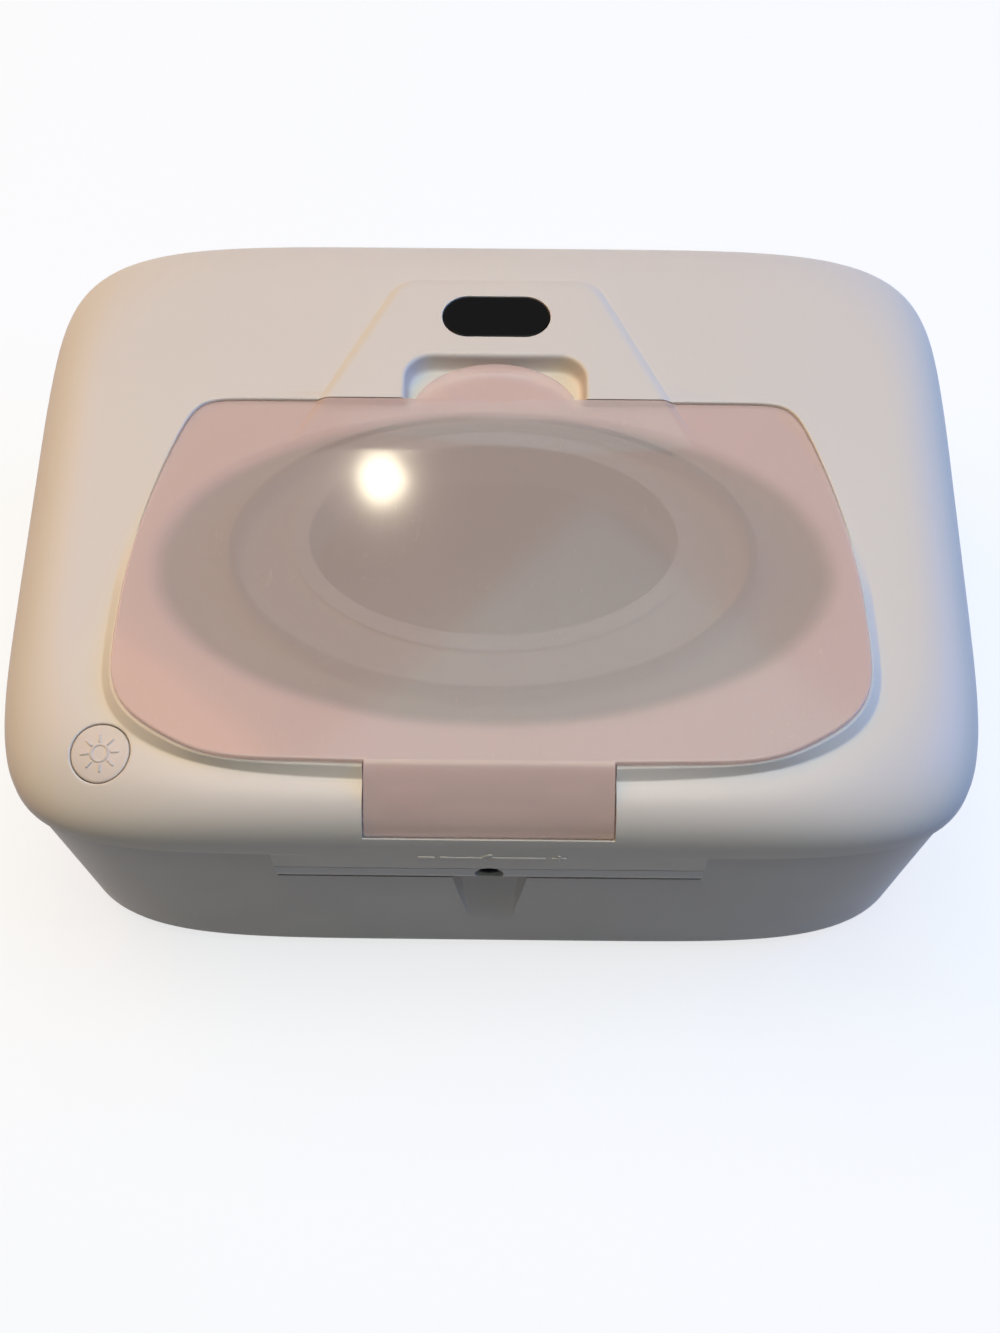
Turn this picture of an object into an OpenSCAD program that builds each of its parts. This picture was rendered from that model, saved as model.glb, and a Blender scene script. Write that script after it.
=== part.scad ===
// Baby wipe warmer with a heated lid: a tub for the wipes, a hinged lid that holds the
// heater, and a translucent flip lid over the dispensing mouth.
// Millimetres, +Z up. The rear, with the hinges and the power inlet, faces -Y.
// The origin is the middle of the footprint, on the surface that the feet stand on.

/* [Body] */
// Width across the belt of the lid
body_w = 240; // [220:1:260]
// Depth across the belt of the lid
body_d = 181; // [172:1:196]
// Height of the lower edge of the lid
seam_z = 70.5; // [66:0.5:80]
// Squareness of the outline at the belt
belt_power = 6.8; // [5:0.1:9]
// Wall thickness of the outer shells
shell_wall = 2.4; // [1.8:0.1:2.8]
// Gap between the lid and the base at the seam
seam_gap = 0.3; // [0.2:0.1:0.6]

/* [Lid] */
// Height of the top surface along the rear edge, above the seam
lid_rear_rise = 16.5; // [15.5:0.5:18]
// How much higher the top surface is at the front
lid_front_gain = 5.2; // [4:0.1:6]
// Width of the soft edge, seen from above
edge_in = 16; // [12:0.5:17]
// How much narrower the soft edge is behind the flip lid
edge_pull = 4.8; // [4.6:0.1:6]
// Height of the soft edge
edge_down = 13; // [10:0.5:14]
// Squareness of the outline where the soft edge meets the top
top_power = 4.6; // [4:0.1:6]
// Thickness of the plate that closes the lid from below
inner_plate = 1.8; // [1.4:0.1:2.2]

/* [Flip lid] */
// Widest half width of the flip lid
flip_half_w = 91.3; // [88:0.1:94]
// Where the flip lid is widest
flip_wide_y = -41.8; // [-46:0.1:-38]
// Distance from the widest line to the rear edge
flip_rear = 34; // [32:0.5:36]
// Distance from the widest line to the front edge
flip_front = 71; // [69:0.5:73]
// Thickness of the flip lid
flip_thick = 1.7; // [1.4:0.1:2]
// Gap between the flip lid and the ledge it closes on
flip_gap = 0.2; // [0.1:0.1:0.4]
// Height of the ledge above the rear top surface
ledge_rise = 3; // [2.5:0.1:3.5]
// Half width of the strip that runs down to the hinge
strip_half_w = 29.25; // [26:0.25:32]
// Radius of the pin of the flip lid
flip_pin_r = 1.25; // [1:0.05:1.4]
// Half width of the finger tab
tab_half_w = 20.5; // [18:0.5:22]
// How far the finger tab reaches past the front edge
tab_reach = 11.8; // [9:0.1:12.5]
// Depth of the finger recess below the ledge
finger_deep = 4; // [3:0.1:4.5]

/* [Dispensing mouth] */
// Half length of the mouth
mouth_a = 46.5; // [42:0.5:48]
// Half width of the mouth
mouth_b = 28.8; // [26:0.1:30]
// Middle of the mouth
mouth_y = -9.5; // [-12:0.5:-7]
// Depth of the dish around the mouth
dish_deep = 4.5; // [3.5:0.1:5]
// Wall of the mouth tube
mouth_wall = 1.8; // [1.2:0.1:2.2]

/* [Console] */
// Height of the raised console above the top surface
console_rise = 1.1; // [0.6:0.1:1.6]
// Far edge of the console
console_y = 69.5; // [68:0.5:72]
// Half width of the console at its far edge
console_far = 26; // [22:0.5:30]
// Half width of the console at the flip lid
console_near = 45; // [42:0.5:48]
// Length of the display lens
lens_len = 28.6; // [26:0.1:31]
// Width of the display lens
lens_w = 13.6; // [12:0.1:15]
// Middle of the lens
lens_y = 57.2; // [56:0.1:59]

/* [Base and tub] */
// Height of the feet
foot_h = 1.5; // [1:0.1:2.5]
// How far the base is set in at its top edge
base_top_in = 1; // [0.6:0.1:1.6]
// How far the base is set in at its foot
base_low_in = 4.5; // [3:0.1:6]
// Rounding of the bottom edge
base_round = 6.2; // [4:0.1:7]
// Half length of the tub mouth
tub_a = 99; // [94:0.5:100]
// Half width of the tub mouth
tub_b = 72; // [68:0.5:74]
// Middle of the tub
tub_y = 4; // [3:0.5:5]
// Thickness of the tub
tub_wall = 1.8; // [1.4:0.1:2.2]
// Space between the tub floor and the base floor
tub_lift = 2.6; // [2:0.1:4]

/* [Main hinge] */
// Radius of the hinge knuckle of the lid
knuckle_r = 6.2; // [5.8:0.1:6.6]
// Depth of the hinge axis below the seam
hinge_below = 9.5; // [9:0.1:10.5]
// Half width of the hinge housing at the seam
housing_half_w = 52; // [48:0.5:56]
// How much narrower each end of the housing is at its bottom
housing_lean = 0.3; // [0:0.1:1]
// Radius of the hinge pins
hinge_pin_r = 1.5; // [1.2:0.1:2]
// Running clearance on every hinge pin
pin_clear = 0.05; // [0.03:0.01:0.08]
// Clearance of the housing in its bay
bay_clear = 0.4; // [0.3:0.1:0.7]

/* [Latches] */
// Width of a side latch
latch_w = 25.2; // [22:0.2:28]
// Height of a side latch
latch_h = 11; // [9:0.5:12]
// Where the side latches are, along the depth
latch_y = 16; // [12:0.5:20]
// How far a latch stands out from the belt
latch_proud = 1.2; // [0.8:0.1:1.6]
// Travel of a latch
latch_travel = 2; // [1.5:0.1:2.2]

/* [Light button] */
// Radius of the light button
button_r = 7.3; // [6.5:0.1:8]
// Gap around the light button
button_gap = 0.3; // [0.2:0.05:0.4]
// Travel of the light button
button_travel = 1; // [0.6:0.1:1.2]

/* [Power inlet] */
// Radius of the hole for the plug
inlet_r = 3.5; // [3.2:0.1:3.6]
// Radius of the socket in the jack
socket_r = 2.8; // [2.6:0.1:2.9]
// Half width of the plug groove at its top
groove_top = 7.8; // [7:0.1:9]
// Half width of the plug groove at its foot
groove_foot = 5.6; // [5:0.1:6.5]
// Depth of the plug groove at its top
groove_deep = 4.6; // [4:0.1:5]
// Length of the plug groove
groove_len = 31; // [26:1:36]

/* [Fasteners] */
// Radius of the screw shanks
screw_r = 1.4; // [1.2:0.1:1.6]
// Radius of the screw heads
head_r = 2.8; // [2.5:0.1:3]
// Height of the screw heads
head_h = 1.5; // [1.2:0.1:1.6]
// Gap around screws in their holes
screw_gap = 0.2; // [0.1:0.05:0.3]

/* [Hidden] */

eps = 0.01;
sides = 72;
edge_angles = [18, 35, 52, 68, 82];
half_w = body_w / 2;
half_d = body_d / 2;

// Heights of the lid
top_rear_z = seam_z + lid_rear_rise;
top_front_z = top_rear_z + lid_front_gain;
ledge_z = top_rear_z + ledge_rise;
flip_low_z = ledge_z + flip_gap;
flip_top_z = flip_low_z + flip_thick;
flip_rear_y = flip_wide_y - flip_rear;
flip_front_y = flip_wide_y + flip_front;
dish_z = ledge_z - dish_deep;
console_top_z = top_front_z + console_rise;
console_thick = console_rise + shell_wall;
lens_flange_z = top_front_z - shell_wall - 1.15;

// Outlines of the flip lid, the dish and the mouth
flip_taper = 0.00283;
flip_front_power = 27;
flip_rear_power = 3.3;
recess_gap = 0.35;
plateau_edge = 0.6;
plateau_foot = 2.6;
dish_a = 87;
dish_rear_y = -66.5;
dish_front_y = flip_front_y - 1.7;
seal_a = 66;
seal_b = 41.5;
seal_y = -15;
seal_w = 1.8;
mouth_gap = 0.3;
dish_floor = 2.2;

// Main hinge, measured from the rear face
rear_y = -half_d;
hinge_y = rear_y + knuckle_r;
hinge_z = seam_z - hinge_below;
housing_front = 8.5;
housing_round = 4;
housing_wall = 1.8;
housing_low_z = hinge_z - knuckle_r;
split_z = hinge_z + 3.2;
knuckle_cheek = 4;
bay_reach = housing_front + 0.9;
bay_wall = 1.8;
ear_w = 8;
pin_seat = 0.01;
bay_half_w = housing_w(hinge_z) + bay_clear + ear_w;
sweep_r = hinge_below - 0.25;

// Flip lid hinge: the pin lies inside the soft rear edge
flip_pin_y = rear_y + 10.2;
flip_pin_z = top_rear_z - 4.6;
strip_end = 25;
strip_thick = 1.5;
flip_sweep_r = norm(edge_point(strip_end, 0) - [flip_pin_y, flip_pin_z]) + 0.15;
strip_lip = 3.8;
trough_front = flip_pin_y + 5.6;
trough_wall = 1.2;
trough_cheek = 1.6;
trough_half_w = strip_half_w + 0.4;
flip_knuckle_r = 2.9;

// Base and tub
base_top_z = seam_z - seam_gap;
base_low_z = foot_h;
base_floor_z = base_low_z + shell_wall;
tub_low_z = base_floor_z + tub_lift;
tub_floor_z = tub_low_z + 2.2;
deck_top_z = seam_z - 2.2;
deck_low_z = deck_top_z - tub_wall;
deck_in = base_top_in + shell_wall + 0.7;
base_screw_at = [70, 45];
post_r = 3;

// Latches
latch_low_z = base_top_z - latch_h;
latch_face_x = half_w + latch_proud;
wall_in_x = half_w - base_top_in - shell_wall - 0.3;
latch_gap = 0.4;
latch_flange = 1.6;
latch_back_x = wall_in_x - 0.5 - latch_flange;
bracket_x = 103.6;
bracket_wall = 1.6;
hook_x = latch_back_x;
hook_w = 10;
hook_top_z = seam_z + 3.2;
hook_nose = 0.4;
hook_thick = 2;
hook_fit = 0.05;
hook_foot_z = latch_low_z + 6.5;
catch_gap = 0.3;
slot_gap = 0.4;

// Light button: its seat on the soft corner and the way it faces
button_at = [-92, -71.5, top_rear_z - 1.1];
button_tilt = [12.3, -6.6];
button_cap = 2.4;
button_stem = 3.6;
switch_z = -7;
switch_board_at = [13.4, 7];
switch_screw_x = 11.2;
switch_boss_r = 2.4;
board_thin = 1.2;

// Inner plate and heater under the lid
plate_top_z = seam_z + inner_plate;
plate_in = shell_wall + 0.4;
rim_wall = 1.6;
heater_a = 88;
heater_b = 62;
heater_y = 4;
heater_hole_a = mouth_a + 7.5;
heater_hole_b = mouth_b + 7.2;
insulator_z = seam_z - 1.4;
film_z = insulator_z - 0.5;
heater_z = film_z - 1.4;
heater_screw_at = [75, 48];
window = [22, 7, 44];

// Screws that join the two halves of the lid
lid_screw_at = [[104, -45], [104, 44], [54, 77], [68, -76]];
lid_boss_z = plate_top_z + 2.2;
lid_boss_r = 3.5;

// Control board
board = [36, 15, 59];
board_z = seam_z + 7.5;
board_t = 1.6;
board_hole = [32, 11];
wire_end_gap = 0.3;

function spow(v, p) = sign(v) * pow(abs(v), p);

// One closed outline of `sides` points. The front and rear halves have their own depth and
// squareness, `spread` sets where the points crowd, and `narrow` draws the front half in.
function outline(a, front, rear, pf, pr, y0, spread, narrow = 0) =
    [for (k = [0:sides - 1])
        let (t = 360 * k / sides,
             s = sin(t),
             b = s >= 0 ? front : rear,
             p = s >= 0 ? pf : pr,
             v = pow(abs(s), 2 / spread),
             u = pow(max(0, 1 - pow(v, p)), 1 / p),
             y = b * spow(s, 2 / spread),
             w = a - (s >= 0 ? narrow * y * y : 0))
        [w * u * sign(cos(t)), y0 + y]];
function belt(inset, power = belt_power) =
    outline(half_w - inset, half_d - inset, half_d - inset, power, power, 0, 5);
function oval(a, b, y0) = outline(a, b, b, 2, 2, y0, 2);
function dish_line(side, rear, front) =
    oval(dish_a - side, (dish_front_y - front - dish_rear_y - rear) / 2,
         (dish_front_y - front + dish_rear_y + rear) / 2);
function mouth_line(grow) = oval(mouth_a + grow, mouth_b + grow, mouth_y);
function tub_line(grow) = outline(tub_a + grow, tub_b + grow, tub_b + grow, 7, 7, tub_y, 5);
function flip_line(grow) =
    outline(flip_half_w + grow, flip_front + grow, flip_rear + grow,
            flip_front_power, flip_rear_power, flip_wide_y, 5, flip_taper);

// Height of the top surface: level along the rear, rising to the front edge of the flip lid
function top_z(y) =
    let (f = (y - flip_rear_y) / (flip_front_y - flip_rear_y))
    top_rear_z + lid_front_gain * min(1, max(0, f));
function rise(y) = (top_z(y) - top_rear_z) / lid_front_gain;
// Flip lid outline grown by one amount at the rear and another at the front
function flip_blend(rear, front) =
    let (a = flip_line(rear), b = flip_line(front))
    [for (k = [0:sides - 1]) a[k] + (b[k] - a[k]) * rise(a[k][1])];
function level(line, z) = [for (p = line) [p[0], p[1], z]];
function drape(line, drop) = [for (p = line) [p[0], p[1], top_z(p[1]) - drop]];
function mix_power(f) = belt_power + (top_power - belt_power) * f;
// Share of the pull towards the rear: full in the middle, nothing at the corners
function pull_share(p) = p[1] > 0 ? 0 : pow(1 - pow(min(1, abs(p[0]) / 100), 6), 2);
function soft_edge(angle, wall) =
    drape([for (p = belt(edge_in * (1 - cos(angle)) + wall, mix_power(angle / 90)))
               p - [0, edge_pull * (1 - cos(angle)) * pull_share(p)]],
          edge_down * (1 - sin(angle)) + wall * sin(angle));

// Surface through a stack of rings, closed into a loop or capped at both ends
module skin(rings, loop = false) {
    count = len(rings);
    last = loop ? count - 1 : count - 2;
    points = [for (r = rings) for (p = r) p];
    bands = [for (i = [0:last]) for (k = [0:sides - 1])
        let (a = i * sides, b = ((i + 1) % count) * sides, m = (k + 1) % sides)
        each [[a + k, b + k, b + m], [a + k, b + m, a + m]]];
    caps = loop ? [] : [[for (k = [0:sides - 1]) k],
                        [for (k = [sides - 1:-1:0]) (count - 1) * sides + k]];
    polyhedron(points, concat(bands, caps), convexity = 10);
}

// Prism with a given outline between two heights
module slab(line, z0, z1) {
    translate([0, 0, z0]) linear_extrude(z1 - z0) polygon(line);
}

// Band between two outlines
module ring_slab(outer, inner, z0, z1) {
    difference() {
        slab(outer, z0, z1);
        slab(inner, z0 - 1, z1 + 1);
    }
}

// Shape drawn in the Y-Z plane, as wide as w and centred on X
module across(w) {
    rotate([90, 0, 90]) translate([0, 0, -w / 2]) linear_extrude(w) children();
}

module rod(r, z0, z1) {
    translate([0, 0, z0]) cylinder(r = r, h = z1 - z0, $fn = 40);
}

module block(low, high) {
    translate(low) cube(high - low);
}

module mirror_copy(axis) {
    children();
    mirror(axis) children();
}

module at_corners(at, y0) {
    for (sx = [-1, 1]) for (sy = [-1, 1]) translate([sx * at[0], y0 + sy * at[1], 0]) children();
}

module at_lid_screws() {
    for (p = lid_screw_at) for (s = [-1, 1]) translate([s * p[0], p[1], 0]) children();
}

module screw(head_z, up) {
    rod(head_r, head_z, head_z + head_h);
    rod(screw_r, head_z + head_h - eps, head_z + head_h + up);
}

// Round wire swept along a smooth route
function knot(path, i) = path[max(0, min(len(path) - 1, i))];
function spline(path, i, t) =
    let (a = knot(path, i - 1), b = knot(path, i), c = knot(path, i + 1), d = knot(path, i + 2))
    0.5 * (2 * b + (c - a) * t + (2 * a - 5 * b + 4 * c - d) * t * t
           + (3 * b - a - 3 * c + d) * t * t * t);
function smooth(path, steps) =
    [for (i = [0:len(path) - 2]) for (j = [0:steps - 1]) spline(path, i, j / steps),
     path[len(path) - 1]];
function unit(v) = v / norm(v);
module wire(path, r, side, facets = 8) {
    n = len(path);
    points = [for (i = [0:n - 1])
        let (t = unit(path[min(n - 1, i + 1)] - path[max(0, i - 1)]),
             u = unit(cross(t, side)),
             v = cross(t, u))
        for (k = [0:facets - 1])
            path[i] + r * (u * cos(360 * k / facets) + v * sin(360 * k / facets))];
    bands = [for (i = [0:n - 2]) for (k = [0:facets - 1])
        let (a = i * facets, b = a + facets, m = (k + 1) % facets)
        each [[a + k, b + k, b + m], [a + k, b + m, a + m]]];
    caps = [[for (k = [0:facets - 1]) k], [for (k = [facets - 1:-1:0]) (n - 1) * facets + k]];
    polyhedron(points, concat(bands, caps), convexity = 10);
}

// Half width of the hinge housing at a height
function housing_w(z) =
    housing_half_w - housing_lean * (seam_z - z) / (seam_z - housing_low_z);

// Housing outline from behind, between two heights, grown by a clearance
module housing_front_view(z0, z1, grow) {
    polygon([[-housing_w(z0) - grow, z0], [housing_w(z0) + grow, z0],
             [housing_w(z1) + grow, z1], [-housing_w(z1) - grow, z1]]);
}

module housing_prism(z0, z1, y0, y1, grow) {
    translate([0, y1, 0]) rotate([90, 0, 0]) linear_extrude(y1 - y0)
        housing_front_view(z0, z1, grow);
}

// Side view of the hinge housing: round at the rear and the foot, open at the top
module housing_side(grow, top) {
    translate([hinge_y, hinge_z]) circle(r = knuckle_r + grow, $fn = 72);
    translate([hinge_y + housing_front - housing_round, housing_low_z + housing_round])
        circle(r = housing_round + grow, $fn = 48);
    translate([hinge_y, housing_low_z - grow])
        square([housing_front - housing_round, top - housing_low_z + grow]);
    translate([hinge_y - knuckle_r - grow, hinge_z])
        square([knuckle_r + housing_front + 2 * grow, top - hinge_z]);
    translate([hinge_y, housing_low_z + housing_round])
        square([housing_front + grow, top - housing_low_z - housing_round]);
}

// Base shell: the outer casing, with the hinge bay, the plug groove and the latch brackets
module base_skin() {
    wall_top = shell_wall + base_top_in;
    wall_low = shell_wall + base_low_in;
    skin([
        level(belt(base_low_in + base_round, 5.6), base_low_z),
        level(belt(base_low_in + base_round * 0.5, 5.6), base_low_z + base_round * 0.134),
        level(belt(base_low_in + base_round * 0.134, 5.7), base_low_z + base_round * 0.5),
        level(belt(base_low_in, 5.7), base_low_z + base_round),
        level(belt(base_top_in + 0.1, belt_power), base_top_z - 1.2),
        level(belt(base_top_in + 0.6, belt_power), base_top_z),
        level(belt(wall_top, belt_power), base_top_z),
        level(belt(wall_low, 5.7), base_low_z + base_round),
        level(belt(wall_low + base_round * 0.3, 5.6), base_floor_z + base_round * 0.2),
        level(belt(wall_low + base_round, 5.6), base_floor_z)]);
}

module hinge_bay_block() {
    block([-bay_half_w, rear_y + base_top_in + 1.6, housing_low_z - bay_clear - bay_wall],
          [bay_half_w, hinge_y + bay_reach + bay_wall, deck_low_z - 0.4]);
}

module hinge_bay_cut() {
    housing_prism(housing_low_z - bay_clear, base_top_z + 5, rear_y - 5, hinge_y + bay_reach,
                  bay_clear);
}

// How far the wall of the base is set in at a height
function base_inset(z) =
    base_top_in + (base_low_in - base_top_in) * (base_top_z - z) / (base_top_z - base_low_z - base_round);

module plug_groove() {
    y_out = rear_y - 1;
    y_in = rear_y + base_top_in + groove_deep;
    z1 = housing_low_z - bay_clear + eps;
    z0 = z1 - groove_len;
    y_foot = rear_y + base_inset(z0) - 0.1;
    slope = 2.6;
    polyhedron(
        [[-groove_foot - slope, y_out, z0], [groove_foot + slope, y_out, z0],
         [groove_foot, y_foot, z0], [-groove_foot, y_foot, z0],
         [-groove_top - slope, y_out, z1], [groove_top + slope, y_out, z1],
         [groove_top, y_in, z1], [-groove_top, y_in, z1]],
        [[0, 1, 2, 3], [7, 6, 5, 4], [4, 5, 1, 0], [5, 6, 2, 1], [6, 7, 3, 2], [7, 4, 0, 3]]);
}

module groove_backing() {
    z1 = housing_low_z - bay_clear - bay_wall + 0.5;
    block([-groove_top - 3, rear_y + base_top_in + 3, z1 - groove_len],
          [groove_top + 3, rear_y + base_top_in + groove_deep + 1.8, z1]);
}

module latch_bracket() {
    y0 = latch_y - latch_w / 2 - 2.4;
    y1 = latch_y + latch_w / 2 + 2.4;
    z0 = latch_low_z - latch_gap - bracket_wall;
    z1 = deck_low_z - 0.3;
    difference() {
        block([bracket_x, y0 - bracket_wall, z0], [half_w - base_top_in - 1.5, y1 + bracket_wall, z1]);
        block([bracket_x + bracket_wall, y0, z0 + bracket_wall], [half_w + 5, y1, z1 + 1]);
    }
}

module latch_window() {
    block([half_w - 8, latch_y - latch_w / 2 - latch_gap, latch_low_z - latch_gap],
          [half_w + 4, latch_y + latch_w / 2 + latch_gap, base_top_z + 1]);
}

module base_shell() {
    color([0.93, 0.91, 0.88])
    difference() {
        union() {
            base_skin();
            hinge_bay_block();
            groove_backing();
            mirror_copy([1, 0, 0]) latch_bracket();
            for (p = [[60, 81.5], [78, -79.5]]) mirror_copy([1, 0, 0])
                translate([p[0], p[1], 0]) rod(post_r, base_floor_z - 1, deck_low_z);
        }
        hinge_bay_cut();
        plug_groove();
        mirror_copy([1, 0, 0]) latch_window();
        // the rear edge is rounded so that the lid's skirt can swing past it
        mirror_copy([1, 0, 0]) intersection() {
            block([housing_half_w - 4, rear_y - 5, hinge_z], [half_w + 5, hinge_y, base_top_z + 5]);
            difference() {
                block([housing_half_w - 6, rear_y - 6, hinge_z - 1], [half_w + 6, hinge_y + 1, base_top_z + 6]);
                translate([0, hinge_y, hinge_z]) rotate([0, 90, 0]) cylinder(r = sweep_r, h = half_w + 9, $fn = 90);
            }
        }
        // bores for the hinge pins
        translate([-bay_half_w - 1, hinge_y, hinge_z]) rotate([0, 90, 0])
            cylinder(r = hinge_pin_r + pin_seat, h = 2 * bay_half_w + 2, $fn = 48);
        at_corners(base_screw_at, tub_y) {
            rod(screw_r + screw_gap, 0, base_floor_z + 1);
            rod(head_r + screw_gap, 0, base_low_z + 0.3 + head_h);
        }
        at_corners([92, 62], 0) rod(4.1, 0, base_low_z + 0.8);
    }
}

// Tub: the tray that holds the wipes, with a deck that rests on the base
module wipe_tub() {
    color([0.95, 0.94, 0.92])
    difference() {
        union() {
            skin([
                level(tub_line(tub_wall - 11), tub_low_z),
                level(tub_line(tub_wall - 5.5), tub_floor_z),
                level(tub_line(tub_wall - 3.5), tub_floor_z + 6.3),
                level(tub_line(tub_wall - 0.8), deck_low_z),
                level(belt(deck_in, belt_power), deck_low_z),
                level(belt(deck_in, belt_power), deck_top_z),
                level(tub_line(0.6), deck_top_z),
                level(tub_line(-0.8), deck_top_z - 2),
                level(tub_line(-3.5), tub_floor_z + 6.3),
                level(tub_line(-5.5), tub_floor_z + 1.8),
                level(tub_line(-11), tub_floor_z)]);
            at_corners(base_screw_at, tub_y) rod(4, base_floor_z, tub_low_z + 0.5);
        }
        // room for the hinge bay and for the latches
        block([-housing_half_w - ear_w - 2, rear_y - 1, deck_low_z - 1],
              [housing_half_w + ear_w + 2, hinge_y + bay_reach + bay_wall + 0.4, deck_top_z + 1]);
        mirror_copy([1, 0, 0])
            block([latch_back_x - latch_travel - 2.6, latch_y - latch_w / 2 - 1, deck_low_z - 1],
                  [half_w, latch_y + latch_w / 2 + 1, deck_top_z + 1]);
        at_corners(base_screw_at, tub_y) rod(screw_r + 0.05, 0, tub_floor_z - 0.7);
    }
}

module tub_gasket() {
    color([0.78, 0.78, 0.78])
    ring_slab(tub_line(3.6), tub_line(1.2), deck_top_z, seam_z - seam_gap);
}

module rubber_feet() {
    color([0.25, 0.25, 0.26])
    at_corners([92, 62], 0) rod(4, 0, base_low_z + 0.8);
}

module base_screws() {
    color([0.7, 0.7, 0.72])
    at_corners(base_screw_at, tub_y) screw(base_low_z + 0.3, tub_floor_z - base_low_z - 3);
}

module lid_hinge_pins() {
    color([0.75, 0.75, 0.77])
    mirror_copy([1, 0, 0])
        translate([housing_w(hinge_z) - knuckle_cheek + 0.4, hinge_y, hinge_z]) rotate([0, 90, 0])
            cylinder(r = hinge_pin_r, h = knuckle_cheek + ear_w, $fn = 48);
}

// Latch: a push pad in the side of the base, with a hook that reaches into the lid
module latch() {
    y0 = latch_y - latch_w / 2;
    y1 = latch_y + latch_w / 2;
    z1 = latch_low_z + latch_h;
    difference() {
        intersection() {
            block([latch_back_x, y0, latch_low_z], [latch_face_x, y1, z1]);
            // the pad's face is a shallow cylinder, so that its ends blend into the belt
            translate([latch_face_x - 90, latch_y, 0]) cylinder(r = 90, h = 100, $fn = 180);
        }
        // seat of the hook
        block([hook_x - 1, latch_y - hook_w / 2 - hook_fit, hook_foot_z],
              [hook_x + hook_thick + hook_fit, latch_y + hook_w / 2 + hook_fit, z1 + 1]);
    }
    block([latch_back_x, y0 - 1.6, latch_low_z + 1], [latch_back_x + latch_flange, y1 + 1.6, deck_low_z - 1]);
    translate([latch_back_x + eps, latch_y, latch_spring_z()]) rotate([0, -90, 0])
        cylinder(r = 1.3, h = 2.5, $fn = 32);
}
function latch_spring_z() = latch_low_z + latch_h / 2 - 1;

// Hook that stands in the latch and reaches into the lid
module latch_hook() {
    y0 = latch_y - hook_w / 2;
    y1 = latch_y + hook_w / 2;
    block([hook_x, y0, hook_foot_z], [hook_x + hook_thick, y1, hook_top_z]);
    block([hook_x, y0, plate_top_z + 0.3], [hook_x + hook_thick + hook_nose, y1, hook_top_z]);
}

module latch_hook_right() {
    color([0.9, 0.9, 0.88]) latch_hook();
}

module latch_hook_left() {
    color([0.9, 0.9, 0.88]) mirror([1, 0, 0]) latch_hook();
}

module latch_right() {
    color([0.93, 0.91, 0.88]) latch();
}

module latch_left() {
    color([0.93, 0.91, 0.88]) mirror([1, 0, 0]) latch();
}

module latch_spring() {
    x0 = bracket_x + bracket_wall + 0.4;
    x1 = latch_back_x - 0.4;
    turns = 5;
    steps = 9;
    coil = [for (i = [0:turns * steps])
        [x0 + 0.1 + (x1 - x0 - 0.2) * i / (turns * steps),
         latch_y + 2.2 * cos(360 * i / steps),
         latch_spring_z() + 2.2 * sin(360 * i / steps)]];
    wire(coil, 0.35, [1, 0.02, 0], 6);
}

module latch_spring_right() {
    color([0.7, 0.7, 0.72]) latch_spring();
}

module latch_spring_left() {
    color([0.7, 0.7, 0.72]) mirror([1, 0, 0]) latch_spring();
}

// Top shell of the lid, as one skin from the belt over the soft edge, the plateau and the
// dish to the mouth, and back on the underside
module lid_skin() {
    under = shell_wall;
    foot = [for (p = flip_line(plateau_foot)) [p[0], p[1], top_z(p[1])]];
    wall_low = [for (p = flip_line(1.3))
        [p[0], p[1], max(top_z(p[1]), min(ledge_z - 0.8, top_z(p[1]) + 0.7))]];
    wall_top = [for (p = flip_line(plateau_edge)) [p[0], p[1], max(top_z(p[1]), ledge_z)]];
    mid_z = dish_z + dish_deep * 0.35;
    skin([
        level(belt(0), seam_z),
        drape(belt(0.1, belt_power), edge_down),
        for (angle = edge_angles) soft_edge(angle, 0.1),
        foot,
        wall_low,
        wall_top,
        level(flip_line(recess_gap), ledge_z),
        level(dish_line(0, 0, 0), ledge_z),
        level(dish_line(4.5, 3, 0.1), mid_z),
        level(dish_line(12, 7.4, 0.2), dish_z),
        level(mouth_line(mouth_wall + mouth_gap), dish_z),
        level(mouth_line(mouth_wall + mouth_gap), dish_z - dish_floor),
        level(dish_line(11, 6, -1.6), dish_z - dish_floor),
        level(dish_line(2.5, 1.2, -2), mid_z - dish_floor),
        level(flip_blend(-1.6, 2.2), ledge_z - under),
        drape(flip_blend(0.6, 3.4), under),
        for (i = [len(edge_angles) - 1:-1:0]) soft_edge(edge_angles[i], under),
        drape(belt(under, belt_power), edge_down),
        level(belt(under), seam_z)], loop = true);
}

module console_line() {
    r = 7;
    hull() {
        for (s = [-1, 1]) translate([s * (console_far - r), console_y - r]) circle(r = r, $fn = 48);
        translate([-console_near, flip_front_y - 2]) square([2 * console_near, 1]);
    }
}

module pill(len, w, z0, z1) {
    translate([0, lens_y, z0]) {
        for (s = [-1, 1]) translate([s * (len - w) / 2, 0, 0]) cylinder(r = w / 2, h = z1 - z0, $fn = 64);
        translate([-(len - w) / 2, -w / 2, 0]) cube([len - w, w, z1 - z0]);
    }
}

// Rounded rectangle from circles and squares
module soft_rect(x0, x1, y0, y1, r) {
    for (x = [x0 + r, x1 - r]) for (y = [y0 + r, y1 - r]) translate([x, y]) circle(r = r, $fn = 48);
    translate([x0 + r, y0]) square([x1 - x0 - 2 * r, y1 - y0]);
    translate([x0, y0 + r]) square([x1 - x0, y1 - y0 - 2 * r]);
}

module finger_pocket(grow, z0, z1) {
    w = tab_half_w + 2.9 + grow;
    y0 = flip_front_y + recess_gap - 0.1 - grow * 0.7;
    y1 = flip_front_y + tab_reach + 2.6 + grow;
    translate([0, 0, z0]) linear_extrude(z1 - z0) intersection() {
        soft_rect(-w, w, y0 - 12, y1, 7 + grow);
        translate([-w, y0]) square([2 * w, y1 - y0]);
    }
}

module place_button() {
    translate(button_at) rotate([button_tilt[0], button_tilt[1], 0]) children();
}

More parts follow.
